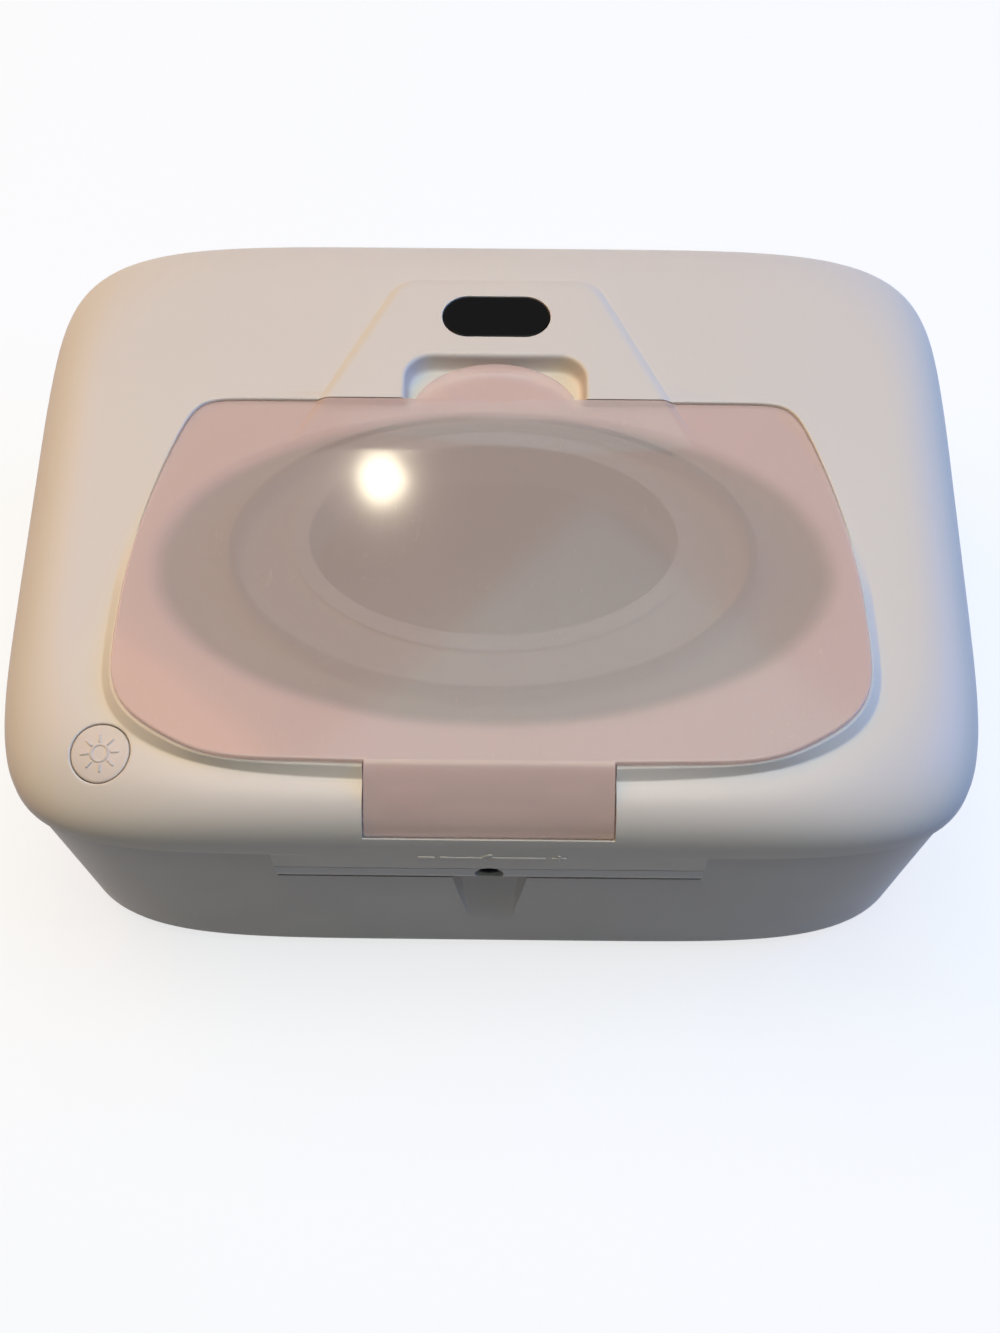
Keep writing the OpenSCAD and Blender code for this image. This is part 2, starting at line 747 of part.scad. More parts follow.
// Space that the hinge strip of the flip lid sweeps through
module flip_sweep(grow) {
    translate([flip_pin_y, flip_pin_z]) circle(r = flip_sweep_r + grow, $fn = 90);
}

module flip_trough() {
    wide = 2 * (trough_half_w + trough_cheek);
    // the trough wall is as round as the sweep, and the cheeks carry the pin
    intersection() {
        across(wide) intersection() {
            flip_sweep(trough_wall);
            translate([rear_y + 0.9, flip_pin_z - 20]) square([trough_front + trough_wall - 0.1 - rear_y - 0.9, 23.5]);
        }
        skin_inside();
    }
    block([-wide / 2, trough_front - 0.5, flip_pin_z - 5],
          [wide / 2, trough_front + trough_wall, ledge_z - 1.2]);
}

// Solid that fills the lid up to its outer surface, to trim what is added inside it
module skin_inside() {
    skin([
        level(belt(0.3), seam_z - 20),
        drape(belt(0.3, belt_power), edge_down),
        for (angle = edge_angles) soft_edge(angle, 0.35),
        drape(belt(30, top_power), 0.4),
        level(belt(60, top_power), top_rear_z - 2)]);
}

module flip_window() {
    across(2 * trough_half_w) {
        intersection() {
            flip_sweep(0);
            translate([rear_y - 5, flip_pin_z - 20]) square([trough_front - rear_y + 5, 40]);
        }
        // the strip's own opening in the soft edge and the plateau
        translate([rear_y - 5, flip_pin_z - strip_lip]) square([trough_front - rear_y + 5, 30]);
    }
}

module lid_top_shell() {
    color([0.94, 0.92, 0.89])
    difference() {
        union() {
            lid_skin();
            difference() {
                union() {
                    translate([0, 0, console_top_z - console_thick]) linear_extrude(console_thick)
                        console_line();
                    finger_pocket(2, ledge_z - finger_deep - 2, top_front_z - 0.5);
                }
                slab(flip_line(recess_gap + 0.02), ledge_z - 0.5, console_top_z + 1);
            }
            flip_trough();
            // the rear skirt over the hinge housing
            housing_prism(split_z, seam_z + 0.4, rear_y, rear_y + shell_wall, 0);
            // catches for the latches
            mirror_copy([1, 0, 0])
                block([hook_x + hook_thick + hook_nose + catch_gap, latch_y - hook_w / 2, seam_z + 0.4],
                      [half_w - 1, latch_y + hook_w / 2, plate_top_z]);
            for (p = lid_screw_at) mirror_copy([1, 0, 0])
                translate([p[0], p[1], 0]) rod(lid_boss_r, lid_boss_z + 0.2, top_z(p[1]) - 1.6);
            translate([0, board[2], 0]) at_corners(board_hole, 0)
                rod(3, board_z + board_t, top_front_z - 1);
            intersection() {
                place_button() {
                    rod(button_r + button_gap + 1.5, switch_z + 0.3, 3);
                    for (s = [-1, 1]) translate([s * switch_screw_x, 0, 0]) rod(switch_boss_r, switch_z, 3);
                }
                skin_inside();
            }
        }
        finger_pocket(0, ledge_z - finger_deep, console_top_z + 1);
        pill(lens_len + 0.3, lens_w + 0.3, top_front_z - shell_wall - 1, console_top_z + 1);
        place_button() {
            rod(button_r + button_gap, -10, 10);
            for (s = [-1, 1]) translate([s * switch_screw_x, 0, 0]) rod(0.95, switch_z - 1, switch_z + 3.2);
        }
        flip_window();
        translate([0, rear_y - 1, hinge_z]) rotate([-90, 0, 0]) cylinder(r = inlet_r, h = 5, $fn = 64);
        translate([-trough_half_w - trough_cheek - 1, flip_pin_y, flip_pin_z]) rotate([0, 90, 0])
            cylinder(r = flip_pin_r + pin_seat, h = 2 * (trough_half_w + trough_cheek + 1), $fn = 40);
        at_lid_screws() rod(screw_r + 0.05, lid_boss_z, top_rear_z - 4);
        translate([0, board[2], 0]) at_corners(board_hole, 0)
            rod(0.95, board_z, board_z + 8);
    }
}

// Lower shell of the lid: the plate over the tub and the hinge housing with the inlet
module lid_inner_shell() {
    in_top = plate_top_z + 1.5;
    color([0.93, 0.92, 0.9])
    difference() {
        union() {
            slab(belt(plate_in), seam_z, plate_top_z);
            ring_slab(belt(plate_in), belt(plate_in + rim_wall), seam_z + 0.5, in_top);
            intersection() {
                across(2 * housing_half_w) housing_side(0, plate_top_z - 0.3);
                housing_prism(housing_low_z - 1, plate_top_z + 1, rear_y - 1, rear_y + 30, 0);
            }
            at_lid_screws() rod(4.6, seam_z, lid_boss_z);
            at_corners(heater_screw_at, heater_y) rod(3.5, seam_z, plate_top_z + 3);
        }
        // hollow of the housing, open to the lid above
        intersection() {
            across(2 * (housing_w(hinge_z) - knuckle_cheek)) housing_side(-housing_wall, in_top + 1);
            block([-200, rear_y, 0], [200, rear_y + 40, 200]);
        }
        // the top shell's skirt laps over the rear wall
        housing_prism(split_z - seam_gap, in_top + 1, rear_y - 1, rear_y + plate_in + 0.2, 2);
        // room for the trough of the flip lid
        across(2 * (trough_half_w + trough_cheek + 0.5)) flip_sweep(trough_wall + 0.4);
        slab(mouth_line(mouth_wall + mouth_gap), seam_z - 1, in_top);
        block([-window[0], window[2] - window[1], seam_z - 1],
              [window[0], window[2] + window[1], plate_top_z + 1]);
        translate([0, rear_y - 1, hinge_z]) rotate([-90, 0, 0]) cylinder(r = inlet_r, h = 5, $fn = 64);
        translate([-half_w, hinge_y, hinge_z]) rotate([0, 90, 0])
            cylinder(r = hinge_pin_r + pin_clear, h = body_w, $fn = 48);
        mirror_copy([1, 0, 0])
            block([hook_x - latch_travel - slot_gap, latch_y - hook_w / 2 - 2, seam_z - 1],
                  [hook_x + hook_thick + hook_nose + slot_gap, latch_y + hook_w / 2 + 2, in_top + 1]);
        at_lid_screws() {
            rod(head_r + screw_gap, seam_z - 1, seam_z + 0.2 + head_h);
            rod(screw_r + screw_gap, seam_z, lid_boss_z + 1);
        }
        at_corners(heater_screw_at, heater_y) rod(1.3, seam_z - 1, plate_top_z + 2.4);
    }
}

module mouth_ring() {
    z0 = seam_z - 0.2;
    color([0.95, 0.94, 0.92])
    difference() {
        union() {
            slab(mouth_line(mouth_wall), z0, dish_z + 0.4);
            slab(mouth_line(mouth_wall + 2.6), dish_z, dish_z + 1.2);
        }
        slab(mouth_line(0), z0 - 1, dish_z + 3);
    }
}

module mouth_seal() {
    color([0.82, 0.81, 0.8])
    ring_slab(oval(seal_a + 0.5, seal_b + 0.5, seal_y), oval(seal_a - 2.5, seal_b - 2.5, seal_y),
              dish_z, dish_z + 1.6);
}

module lid_screws() {
    color([0.7, 0.7, 0.72])
    at_lid_screws() screw(seam_z + 0.2, lid_rear_rise - 6.4);
}

module heater_sheet(grow, hole_grow, z0, z1) {
    ring_slab(outline(heater_a + grow, heater_b + grow, heater_b + grow, 7, 7, heater_y, 5),
              oval(heater_hole_a + hole_grow, heater_hole_b + hole_grow, mouth_y), z0, z1);
}

module heater_plate() {
    color([0.77, 0.78, 0.79])
    difference() {
        union() {
            heater_sheet(0, 0, heater_z, heater_z + 1.2);
            ring_slab(outline(heater_a, heater_b, heater_b, 7, 7, heater_y, 5),
                      outline(heater_a - 1.2, heater_b - 1.2, heater_b - 1.2, 7, 7, heater_y, 5),
                      heater_z, seam_z - 0.1);
        }
        at_corners(heater_screw_at, heater_y) rod(1.5, heater_z - 1, heater_z + 3);
    }
}

module heater_film() {
    color([0.75, 0.45, 0.15])
    difference() {
        heater_sheet(-3, 3, film_z, film_z + 0.3);
        at_corners(heater_screw_at, heater_y) rod(4.2, film_z - 1, film_z + 2);
    }
}

module heater_insulator() {
    color([0.85, 0.85, 0.8])
    difference() {
        heater_sheet(-3, 3, insulator_z, seam_z - 0.1);
        at_corners(heater_screw_at, heater_y) rod(4.2, insulator_z - 1, seam_z + 1);
        block([-window[0], window[2] - window[1], insulator_z - 1],
              [window[0], window[2] + window[1], seam_z + 1]);
    }
}

module heater_screws() {
    color([0.7, 0.7, 0.72])
    at_corners(heater_screw_at, heater_y) {
        rod(2.4, heater_z - 1.1, heater_z);
        rod(1.25, heater_z - eps, plate_top_z + 2);
    }
}

module heater_wires() {
    z0 = insulator_z - 0.2 + 0.72;
    color([0.75, 0.2, 0.15])
    for (s = [-1, 1])
        wire(smooth([[s * 6, 41, z0], [s * 6, 43, z0 + 0.2], [s * 6, 46.5, z0 + 3.5], [s * 6, 47, board_z - 2.5],
                     [s * 6, 47, board_z - wire_end_gap]], 3), 0.6, [1, 0, 0]);
}

module thermal_fuse() {
    color([0.8, 0.8, 0.78])
    translate([12, window[2], insulator_z + 1.5]) rotate([0, 90, 0])
        cylinder(r = 1.6, h = 8, $fn = 32);
}

module temperature_sensor() {
    color([0.1, 0.1, 0.1])
    translate([-14, window[2], insulator_z + 1.1]) sphere(r = 1.2, $fn = 32);
}

module control_board() {
    color([0.1, 0.4, 0.2])
    difference() {
        block([-board[0], board[2] - board[1], board_z], [board[0], board[2] + board[1], board_z + board_t]);
        translate([0, board[2], 0]) at_corners(board_hole, 0) rod(1.3, board_z - 1, board_z + 3);
    }
    // controller, relay and the wire sockets
    color([0.12, 0.12, 0.12]) {
        block([-29, board[2] - 6, board_z + board_t - eps], [-21, board[2] + 2, board_z + board_t + 1.4]);
        block([22, board[2] - 7, board_z + board_t - eps], [29, board[2] + 3, board_z + board_t + 5]);
    }
    color([0.9, 0.9, 0.85])
        block([-28, board[2] - 14, board_z + board_t - eps], [-15, board[2] - 9, board_z + board_t + 3.5]);
}

module board_screws() {
    color([0.7, 0.7, 0.72])
    translate([0, board[2], 0]) at_corners(board_hole, 0) {
        rod(2, board_z - 1.2, board_z);
        rod(0.9, board_z - eps, board_z + 7);
    }
}

module display_module() {
    top = lens_flange_z - 0.2;
    color([0.15, 0.15, 0.16])
    block([-13, lens_y - 6, board_z + board_t], [13, lens_y + 6, top]);
}

module indicator_leds() {
    color([0.9, 0.85, 0.5])
    for (s = [-1, 1]) translate([s * 18, lens_y, 0]) rod(1.5, board_z + board_t, board_z + board_t + 4.5);
}

module display_lens() {
    color([0.04, 0.04, 0.05]) {
        pill(lens_len, lens_w, lens_flange_z + 1 - eps, console_top_z - 0.1);
        pill(lens_len + 4, lens_w + 4, lens_flange_z, lens_flange_z + 1);
    }
}

module dc_jack() {
    y0 = rear_y + shell_wall + 0.2;
    y1 = hinge_y + housing_front - housing_wall - 0.6;
    color([0.1, 0.1, 0.1])
    difference() {
        union() {
            block([-4.5, y0 + 1.2, hinge_z - 3.2], [4.5, y1, hinge_z + 4.2]);
            translate([0, y0 - 0.8, hinge_z]) rotate([-90, 0, 0]) cylinder(r = inlet_r - 0.15, h = 2.5, $fn = 64);
        }
        translate([0, y0 - 2, hinge_z]) rotate([-90, 0, 0]) cylinder(r = socket_r, h = 10, $fn = 64);
    }
    color([0.85, 0.8, 0.6])
    translate([0, y0 + 0.6, hinge_z]) rotate([-90, 0, 0]) cylinder(r = 1, h = 8, $fn = 32);
}

module inlet_lead() {
    y0 = hinge_y + housing_front - housing_wall - 1.8;
    route = [[0, y0, hinge_z + 4.5], [0, y0, hinge_z + 5.6], [-4, y0 - 0.6, hinge_z + 6.6],
             [-18, -81, 67.6], [-34, -81, 67.8], [-40.5, -80.6, 70], [-42.5, -79.5, 74],
             [-46, -72, 76.5], [-60, -46, 76.5], [-66, -10, 76], [-58, 26, 75],
             [-40, 44, 74.8], [-31, 51, 75], [-27.6, 53, 76.2], [-27, 53.4, board_z - wire_end_gap]];
    color([0.1, 0.1, 0.1]) wire(smooth(route, 3), 1.2, [0.2, 0.4, 1]);
}

// Parts under the light button, placed along its own axis
module switch_board() {
    color([0.1, 0.4, 0.2])
    place_button() difference() {
        block([-switch_board_at[0], -switch_board_at[1], switch_z - board_thin],
              [switch_board_at[0], switch_board_at[1], switch_z]);
        for (s = [-1, 1]) translate([s * switch_screw_x, 0, 0]) rod(1, switch_z - 2, switch_z + 1);
    }
}

module switch_screws() {
    color([0.7, 0.7, 0.72])
    place_button() for (s = [-1, 1]) translate([s * switch_screw_x, 0, 0]) {
        rod(1.7, switch_z - board_thin - 1, switch_z - board_thin);
        rod(0.9, switch_z - board_thin - eps, switch_z + 3);
    }
}

module tact_switch() {
    color([0.12, 0.12, 0.13])
    place_button() difference() {
        block([-3, -3, switch_z], [3, 3, switch_z + 2.4]);
        rod(1.85, switch_z + 0.9, switch_z + 3);
    }
}

module switch_plunger() {
    color([0.85, 0.2, 0.15])
    place_button() rod(1.75, switch_z + 2.2, -button_stem);
}

// Light button: the cap is cut flush with the lid around it, and a stem meets the plunger
module light_button() {
    color([0.92, 0.9, 0.87]) {
        intersection() {
            place_button() rod(button_r, -button_cap, 3);
            skin_inside();
        }
        place_button() {
            difference() {
                rod(button_r, -button_cap - 1.4, -button_cap + eps);
                rod(button_r - 1.3, -button_cap - 2, -button_cap);
            }
            rod(2, -button_stem, -button_cap + eps);
        }
    }
}

module switch_wires() {
    start = [-88, -66, seam_z + 4];
    route = [start, [-86, -60, 75.5], [-83, -40, 75.5], [-79, 0, 75.5], [-66, 34, 76],
             [-44, 55, 76.4], [-34.5, 61, 76.8], [-33.5, 62, board_z - wire_end_gap]];
    color([0.9, 0.9, 0.9]) wire(smooth(route, 3), 0.55, [0.2, 0.4, 1]);
}

module flip_hinge_pin() {
    color([0.75, 0.75, 0.77])
    translate([-trough_half_w - trough_cheek, flip_pin_y, flip_pin_z]) rotate([0, 90, 0])
        cylinder(r = flip_pin_r, h = 2 * (trough_half_w + trough_cheek), $fn = 40);
}

// Side view of the strip: it drops from the flip lid onto the soft rear edge and follows it
function edge_point(angle, grow) =
    [rear_y + 0.1 + edge_in - edge_pull - (edge_in - edge_pull + grow) * cos(angle),
     top_rear_z - edge_down + (edge_down + grow) * sin(angle)];
module strip_side() {
    bends = [for (a = [strip_end:5:75]) edge_point(a, 0)];
    under = [for (a = [75:-5:strip_end]) edge_point(a, -strip_thick)];
    lip = flip_rear_y;
    polygon(concat(bends,
                   [[lip - 1.9, top_rear_z + 0.9], [lip - 1.1, flip_top_z - 1.2],
                    [lip + 0.3, flip_top_z - 0.1], [lip + 3, flip_top_z - 0.3],
                    [lip + 3, flip_low_z + 0.3], [lip + 0.6, flip_low_z + 0.3],
                    [lip + 0.1, top_rear_z - 0.6]],
                   under));
}

// Ring under the flip lid that closes on the seal of the dish
module flip_seal() {
    color([0.85, 0.82, 0.8])
    ring_slab(oval(seal_a, seal_b, seal_y), oval(seal_a - seal_w, seal_b - seal_w, seal_y),
              dish_z + 1.8, flip_low_z);
}

module flip_lid() {
    knuckle_x = 13;
    knuckle_len = 12;
    color([0.83, 0.78, 0.74, 0.6])
    difference() {
        union() {
            slab(flip_line(0), flip_low_z, flip_top_z);
            // finger tab
            intersection() {
                slab(oval(tab_half_w, tab_reach + 6, flip_front_y - 6), flip_low_z, flip_top_z);
                block([-50, flip_front_y - 1, 0], [50, flip_front_y + 40, 200]);
            }
            // the console runs on over the front of the flip lid and fades out
            intersection() {
                across(2 * console_near + 20)
                    polygon([[flip_front_y, flip_top_z - 0.5], [flip_front_y, console_top_z],
                             [flip_front_y - 17, flip_top_z], [flip_front_y - 17, flip_top_z - 0.5]]);
                translate([0, 0, flip_low_z]) linear_extrude(6)
                    polygon([[-console_near, flip_front_y], [console_near, flip_front_y],
                             [console_near + 8, flip_front_y - 18], [-console_near - 8, flip_front_y - 18]]);
                slab(flip_line(0), flip_low_z, console_top_z + 1);
            }
            across(2 * strip_half_w) strip_side();
            for (s = [-1, 1]) translate([s * (knuckle_x + knuckle_len / 2) - knuckle_len / 2, flip_pin_y, flip_pin_z]) {
                rotate([0, 90, 0]) cylinder(r = flip_knuckle_r, h = knuckle_len, $fn = 48);
                translate([0, -0.9, 0]) cube([knuckle_len, 1.8, 4.2]);
            }
        }
        translate([-trough_half_w, flip_pin_y, flip_pin_z]) rotate([0, 90, 0])
            cylinder(r = flip_pin_r + pin_clear, h = 2 * trough_half_w, $fn = 40);
        // thumb dip on the tab
        slab(oval(14.5, 5, flip_front_y + 4.8), flip_top_z - 0.5, flip_top_z + 5);
    }
}

base_shell();
wipe_tub();
tub_gasket();
rubber_feet();
base_screws();
lid_hinge_pins();
latch_left();
latch_right();
latch_hook_left();
latch_hook_right();
latch_spring_left();
latch_spring_right();
lid_top_shell();
lid_inner_shell();
mouth_ring();
mouth_seal();
lid_screws();
heater_plate();
heater_film();
heater_insulator();
heater_screws();
heater_wires();
thermal_fuse();
temperature_sensor();
control_board();
board_screws();
display_module();
indicator_leds();
display_lens();
dc_jack();
inlet_lead();
switch_board();
switch_screws();
tact_switch();
switch_wires();
light_button();
switch_plunger();
flip_hinge_pin();
flip_seal();
flip_lid();
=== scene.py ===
# %% [markdown]
# # A baby wipe warmer
# The warmer is a low tub with a hinged lid, all of it moulded in warm white plastic.
# A smoky, see-through flip lid covers the mouth that the wipes come out of.
# The construction model gives every piece its place. This lesson dresses it: the large
# moulded shells are lofted again with far more points, and every piece gets a finish.

# %% Load the fixed frame
import math
import bmesh
import bpy
import numpy as np
from mathutils import Matrix, Vector
from mathutils.bvhtree import BVHTree


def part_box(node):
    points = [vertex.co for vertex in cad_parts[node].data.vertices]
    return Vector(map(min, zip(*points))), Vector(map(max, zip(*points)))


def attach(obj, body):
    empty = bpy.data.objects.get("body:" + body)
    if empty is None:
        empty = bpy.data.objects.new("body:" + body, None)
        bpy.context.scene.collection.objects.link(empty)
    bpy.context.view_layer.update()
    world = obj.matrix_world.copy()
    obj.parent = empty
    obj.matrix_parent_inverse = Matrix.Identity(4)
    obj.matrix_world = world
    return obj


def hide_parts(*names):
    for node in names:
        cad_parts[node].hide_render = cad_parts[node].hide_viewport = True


scene = bpy.context.scene
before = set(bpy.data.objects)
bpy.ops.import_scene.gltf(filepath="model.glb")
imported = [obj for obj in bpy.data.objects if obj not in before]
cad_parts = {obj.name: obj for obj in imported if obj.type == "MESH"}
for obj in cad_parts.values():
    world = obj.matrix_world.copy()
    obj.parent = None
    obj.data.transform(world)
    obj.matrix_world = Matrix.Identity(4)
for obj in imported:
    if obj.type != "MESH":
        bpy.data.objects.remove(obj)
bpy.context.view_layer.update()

# %% [markdown]
# Every length below is written in millimetres, because that is how a maker thinks about
# such a small object, and it is turned into metres when a mesh is made. The sizes that
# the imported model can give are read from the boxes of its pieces.

# %% Driving sizes
MM = 0.001


def low(node):
    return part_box(node)[0] / MM


def high(node):
    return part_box(node)[1] / MM


def add_object(name, data):
    piece = bpy.data.objects.new(name, data)
    scene.collection.objects.link(piece)
    return piece


SEAM_GAP = 0.3
SHELL_WALL, DISH_WALL = 2.4, 2.2
HALF_W = high("lid_top_shell").x
HALF_D = high("lid_top_shell").y
REAR_Y = -HALF_D
SEAM_Z = high("tub_gasket").z + SEAM_GAP
CONSOLE_TOP = high("lid_top_shell").z
TOP_FRONT = CONSOLE_TOP - 1.1
TOP_REAR = TOP_FRONT - 5.2
FLIP_TOP = TOP_FRONT - 0.3
FLIP_LOW = FLIP_TOP - 1.7
LEDGE_Z = TOP_REAR + 3
DISH_Z = LEDGE_Z - 4.5
PLATE_TOP = SEAM_Z + 1.8
EDGE_IN, EDGE_DOWN, EDGE_PULL = 16, 13, 4.8
BELT_POWER, TOP_POWER = 6.8, 4.6
print(f"lid {2 * HALF_W:.0f} x {2 * HALF_D:.0f} mm, seam at {SEAM_Z:.1f}, top at {CONSOLE_TOP:.1f}")

# %% [markdown]
# ## Camera
# The photograph looks down on the warmer from behind, so the hinge is nearest to the eye.
# The place and the lens were worked out from the outlines of the lid, the seam and the
# foot. They come first, because every later choice is judged through this view.

# %% Camera at the photograph's viewing angle
FOCAL_PX, LONG_SIDE_PX = 1823, 1333
PITCH_DOWN, TURN = 60, 0.65
EYE = Vector((4.65, -267.8, 468.8)) * MM

camera_data = bpy.data.cameras.new("camera")
camera_data.sensor_width = 36
camera_data.lens = FOCAL_PX * camera_data.sensor_width / LONG_SIDE_PX
camera_data.clip_start = 0.01
camera = add_object("camera", camera_data)
camera.location = EYE
camera.rotation_euler = (math.radians(90 - PITCH_DOWN), 0, math.radians(TURN))
scene.camera = camera
print(f"camera {EYE.length:.3f} m from the foot of the warmer, lens {camera_data.lens:.1f} mm")

# %% [markdown]
# ## Shader helpers
# Every finish is a small graph of nodes. These helpers keep the graphs short: one adds a
# node and fills its inputs, and a value that is itself a socket gets linked.

# %% Helpers for shader nodes
def new_finish(name):
    finish = bpy.data.materials.new(name)
    finish.use_nodes = True
    return finish.node_tree, finish.node_tree.nodes["Principled BSDF"]


def set_inputs(tree, node, values):
    for key, value in values.items():
        if isinstance(value, bpy.types.NodeSocket):
            tree.links.new(value, node.inputs[key])
        else:
            node.inputs[key].default_value = value


def add_node(tree, kind, values, **settings):
    node = tree.nodes.new("ShaderNode" + kind)
    for key, value in settings.items():
        setattr(node, key, value)
    set_inputs(tree, node, values)
    return node


def add_math(tree, operation, *values):
    return add_node(tree, "Math", dict(enumerate(values)), operation=operation).outputs[0]


def object_place(tree):
    return add_node(tree, "TexCoord", {}).outputs["Object"]


def blend(tree, share, colour, far_colour):
    """Colour that goes from the first to the second as the share goes from 0 to 1."""
    return add_node(tree, "Mix", {"Factor": share, "A": (*colour, 1), "B": (*far_colour, 1)},
                    data_type="RGBA").outputs["Result"]


print("shader helpers are ready")

# %% [markdown]
# ## Studio
# The cream plastic is lit warm from the left and cool from the right, which is what gives
# the photograph its blue right flank. One small round lamp stands where its mirror image
# falls on the flip lid. The floor and the world look white to the camera and to mirror
# rays, while what they give off as light stays low. For those rays the floor is its own
# lit face plus an even glow, so the warmer's shadow still shows on it.

# %% Floor, world and lamps
scene.view_settings.view_transform = "Standard"


def rays_that_see_white(tree):
    """1 for rays from the camera, from a gloss or through a clear skin, and 0 for the rest."""
    path = add_node(tree, "LightPath", {}).outputs
    both = add_math(tree, "MAXIMUM", path["Is Glossy Ray"], path["Is Transmission Ray"])
    return add_math(tree, "MAXIMUM", path["Is Camera Ray"], both)


WHITE = (0.98, 0.98, 0.98, 1)
world = bpy.data.worlds.new("pale_room")
scene.world = world
world.use_nodes = True
sky = world.node_tree
glow = sky.nodes["Background"]
set_inputs(sky, glow, {"Color": (0.93, 0.95, 1.0, 1), "Strength": 0.02})
paper = add_node(sky, "Background", {"Color": WHITE})
choose = add_node(sky, "MixShader", {
    0: rays_that_see_white(sky), 1: glow.outputs[0], 2: paper.outputs[0]})
set_inputs(sky, sky.nodes["World Output"], {"Surface": choose.outputs[0]})

FLOOR_HALF = 4.0
floor_mesh = bpy.data.meshes.new("floor")
floor_corners = [(sx * FLOOR_HALF, sy * FLOOR_HALF, 0) for sx, sy in ((-1, -1), (1, -1), (1, 1), (-1, 1))]
floor_mesh.from_pydata(floor_corners, [], [(0, 1, 2, 3)])
floor = add_object("floor", floor_mesh)
CARD_BOUNCE, CARD_SEEN, CARD_GLOW = (0.17, 0.175, 0.19), (0.27, 0.30, 0.33), 0.775
card_tree, card_face = new_finish("white_card")
card_seen = rays_that_see_white(card_tree)
set_inputs(card_tree, card_face, {
    "Base Color": blend(card_tree, card_seen, CARD_BOUNCE, CARD_SEEN), "Roughness": 0.9,
    "Specular IOR Level": 0.1})
card_glow = add_node(card_tree, "Emission", {
    "Color": WHITE, "Strength": add_math(card_tree, "MULTIPLY", card_seen, CARD_GLOW)})
card_sum = add_node(card_tree, "AddShader", {0: card_face.outputs[0], 1: card_glow.outputs[0]})
set_inputs(card_tree, card_tree.nodes["Material Output"], {"Surface": card_sum.outputs[0]})
floor_mesh.materials.append(bpy.data.materials["white_card"])

AIM = Vector((0, 0, 0.06))


def soft_lamp(name, place, size, watts, colour, shape="SQUARE"):
    data = bpy.data.lights.new(name, "AREA")
    data.shape = shape
    data.size = size
    data.energy = watts
    data.color = colour
    lamp = add_object(name, data)
    lamp.location = place
    lamp.rotation_euler = (AIM - Vector(place)).to_track_quat("-Z", "Y").to_euler()
    return lamp


soft_lamp("warm_key", (-0.75, 0.35, 1.15), 0.9, 7.4, (1.0, 0.42, 0.14))
soft_lamp("rear_soft", (0.0, -0.04, 1.5), 0.8, 7.6, (1.0, 0.77, 0.48))
soft_lamp("top_soft", (0.1, 0.1, 1.5), 1.2, 7.0, (0.37, 0.90, 1.0))
soft_lamp("cool_fill", (1.1, 0.1, 0.8), 0.8, 8.2, (0.0, 0.22, 1.0))

# the round lamp is placed by its mirror image, seen on the flip lid at LAMP_SPOT
LAMP_SPOT = Vector((-28.3, 4.5, FLIP_TOP)) * MM
LAMP_FAR, LAMP_RADIUS = 1.3, 0.021
toward = (LAMP_SPOT - EYE).normalized()
lamp_place = LAMP_SPOT + Vector((toward.x, toward.y, -toward.z)) * LAMP_FAR
round_lamp = soft_lamp("round_lamp", lamp_place, 2 * LAMP_RADIUS, 0.34, (1.0, 0.88, 0.66), "DISK")
round_lamp.rotation_euler = (LAMP_SPOT - lamp_place).to_track_quat("-Z", "Y").to_euler()
print("round lamp at", [round(v, 3) for v in lamp_place])

# %% [markdown]
# ## Outlines
# The whole product is drawn with one family of closed curves, halfway between an ellipse
# and a rectangle, that a designer calls a superellipse. The front and the rear half may
# have their own depth and squareness. Every shell is a stack of such rings, so a smooth
# moulded form needs no modelling by hand, only a good profile.

# %% Superellipse outlines
SIDES = 432


def outline(a, front, rear, front_power, rear_power, y0, spread, narrow=0.0):
    s = np.sin(np.linspace(0, 2 * np.pi, SIDES, endpoint=False))
    c = np.cos(np.linspace(0, 2 * np.pi, SIDES, endpoint=False))
    ahead = s >= 0
    v = np.abs(s) ** (2 / spread)
    power = np.where(ahead, front_power, rear_power)
    u = np.maximum(0, 1 - v ** power) ** (1 / power)
    y = np.where(ahead, front, rear) * np.sign(s) * v
    w = a - np.where(ahead, narrow * y * y, 0)
    return np.column_stack([w * u * np.sign(c), y0 + y])


def belt(inset, power=BELT_POWER):
    return outline(HALF_W - inset, HALF_D - inset, HALF_D - inset, power, power, 0, 5)


def oval(a, b, y0):
    return outline(a, b, b, 2, 2, y0, 2)


FLIP_REAR_Y, FLIP_FRONT_Y, FLIP_WIDE_Y = -75.8, 29.2, -41.8
CORNER_AT, CORNER_FILL = 0.73, 0.062


def flip_line(grow):
    """Outline of the flip lid, with its rear corners filled out a little."""
    half, deep = high("flip_lid").x + grow, FLIP_WIDE_Y - FLIP_REAR_Y + grow
    line = outline(half, FLIP_FRONT_Y - FLIP_WIDE_Y + grow, deep, 27, 3.3, FLIP_WIDE_Y, 5, 0.00283)
    share = np.abs(line[:, 0]) / half
    fuller = np.exp(-((share - CORNER_AT) / np.where(share > CORNER_AT, 0.12, 0.2)) ** 2)
    fuller *= CORNER_FILL * (1 - 0.3 * min(max(grow, 0), 3.1))
    line[:, 1] -= fuller * np.maximum(FLIP_WIDE_Y - line[:, 1], 0)
    return line


DISH_A, DISH_REAR, DISH_FRONT = 87, -66.5, FLIP_FRONT_Y - 1.7


def dish_line(side, rear, front):
    return oval(DISH_A - side, (DISH_FRONT - front - DISH_REAR - rear) / 2,
                (DISH_FRONT - front + DISH_REAR + rear) / 2)


def mouth_line(grow):
    return oval(46.5 + grow, 28.8 + grow, -9.5)


def tub_line(grow):
    return outline(99 + grow, 72 + grow, 72 + grow, 7, 7, 4, 5)


print("points in one outline:", SIDES)

# %% [markdown]
# The top of the lid is level at the rear and climbs five millimetres to the front edge of
# the flip lid. The two bends of that line are rounded over a few millimetres, or they
# would show as creases in the reflections.

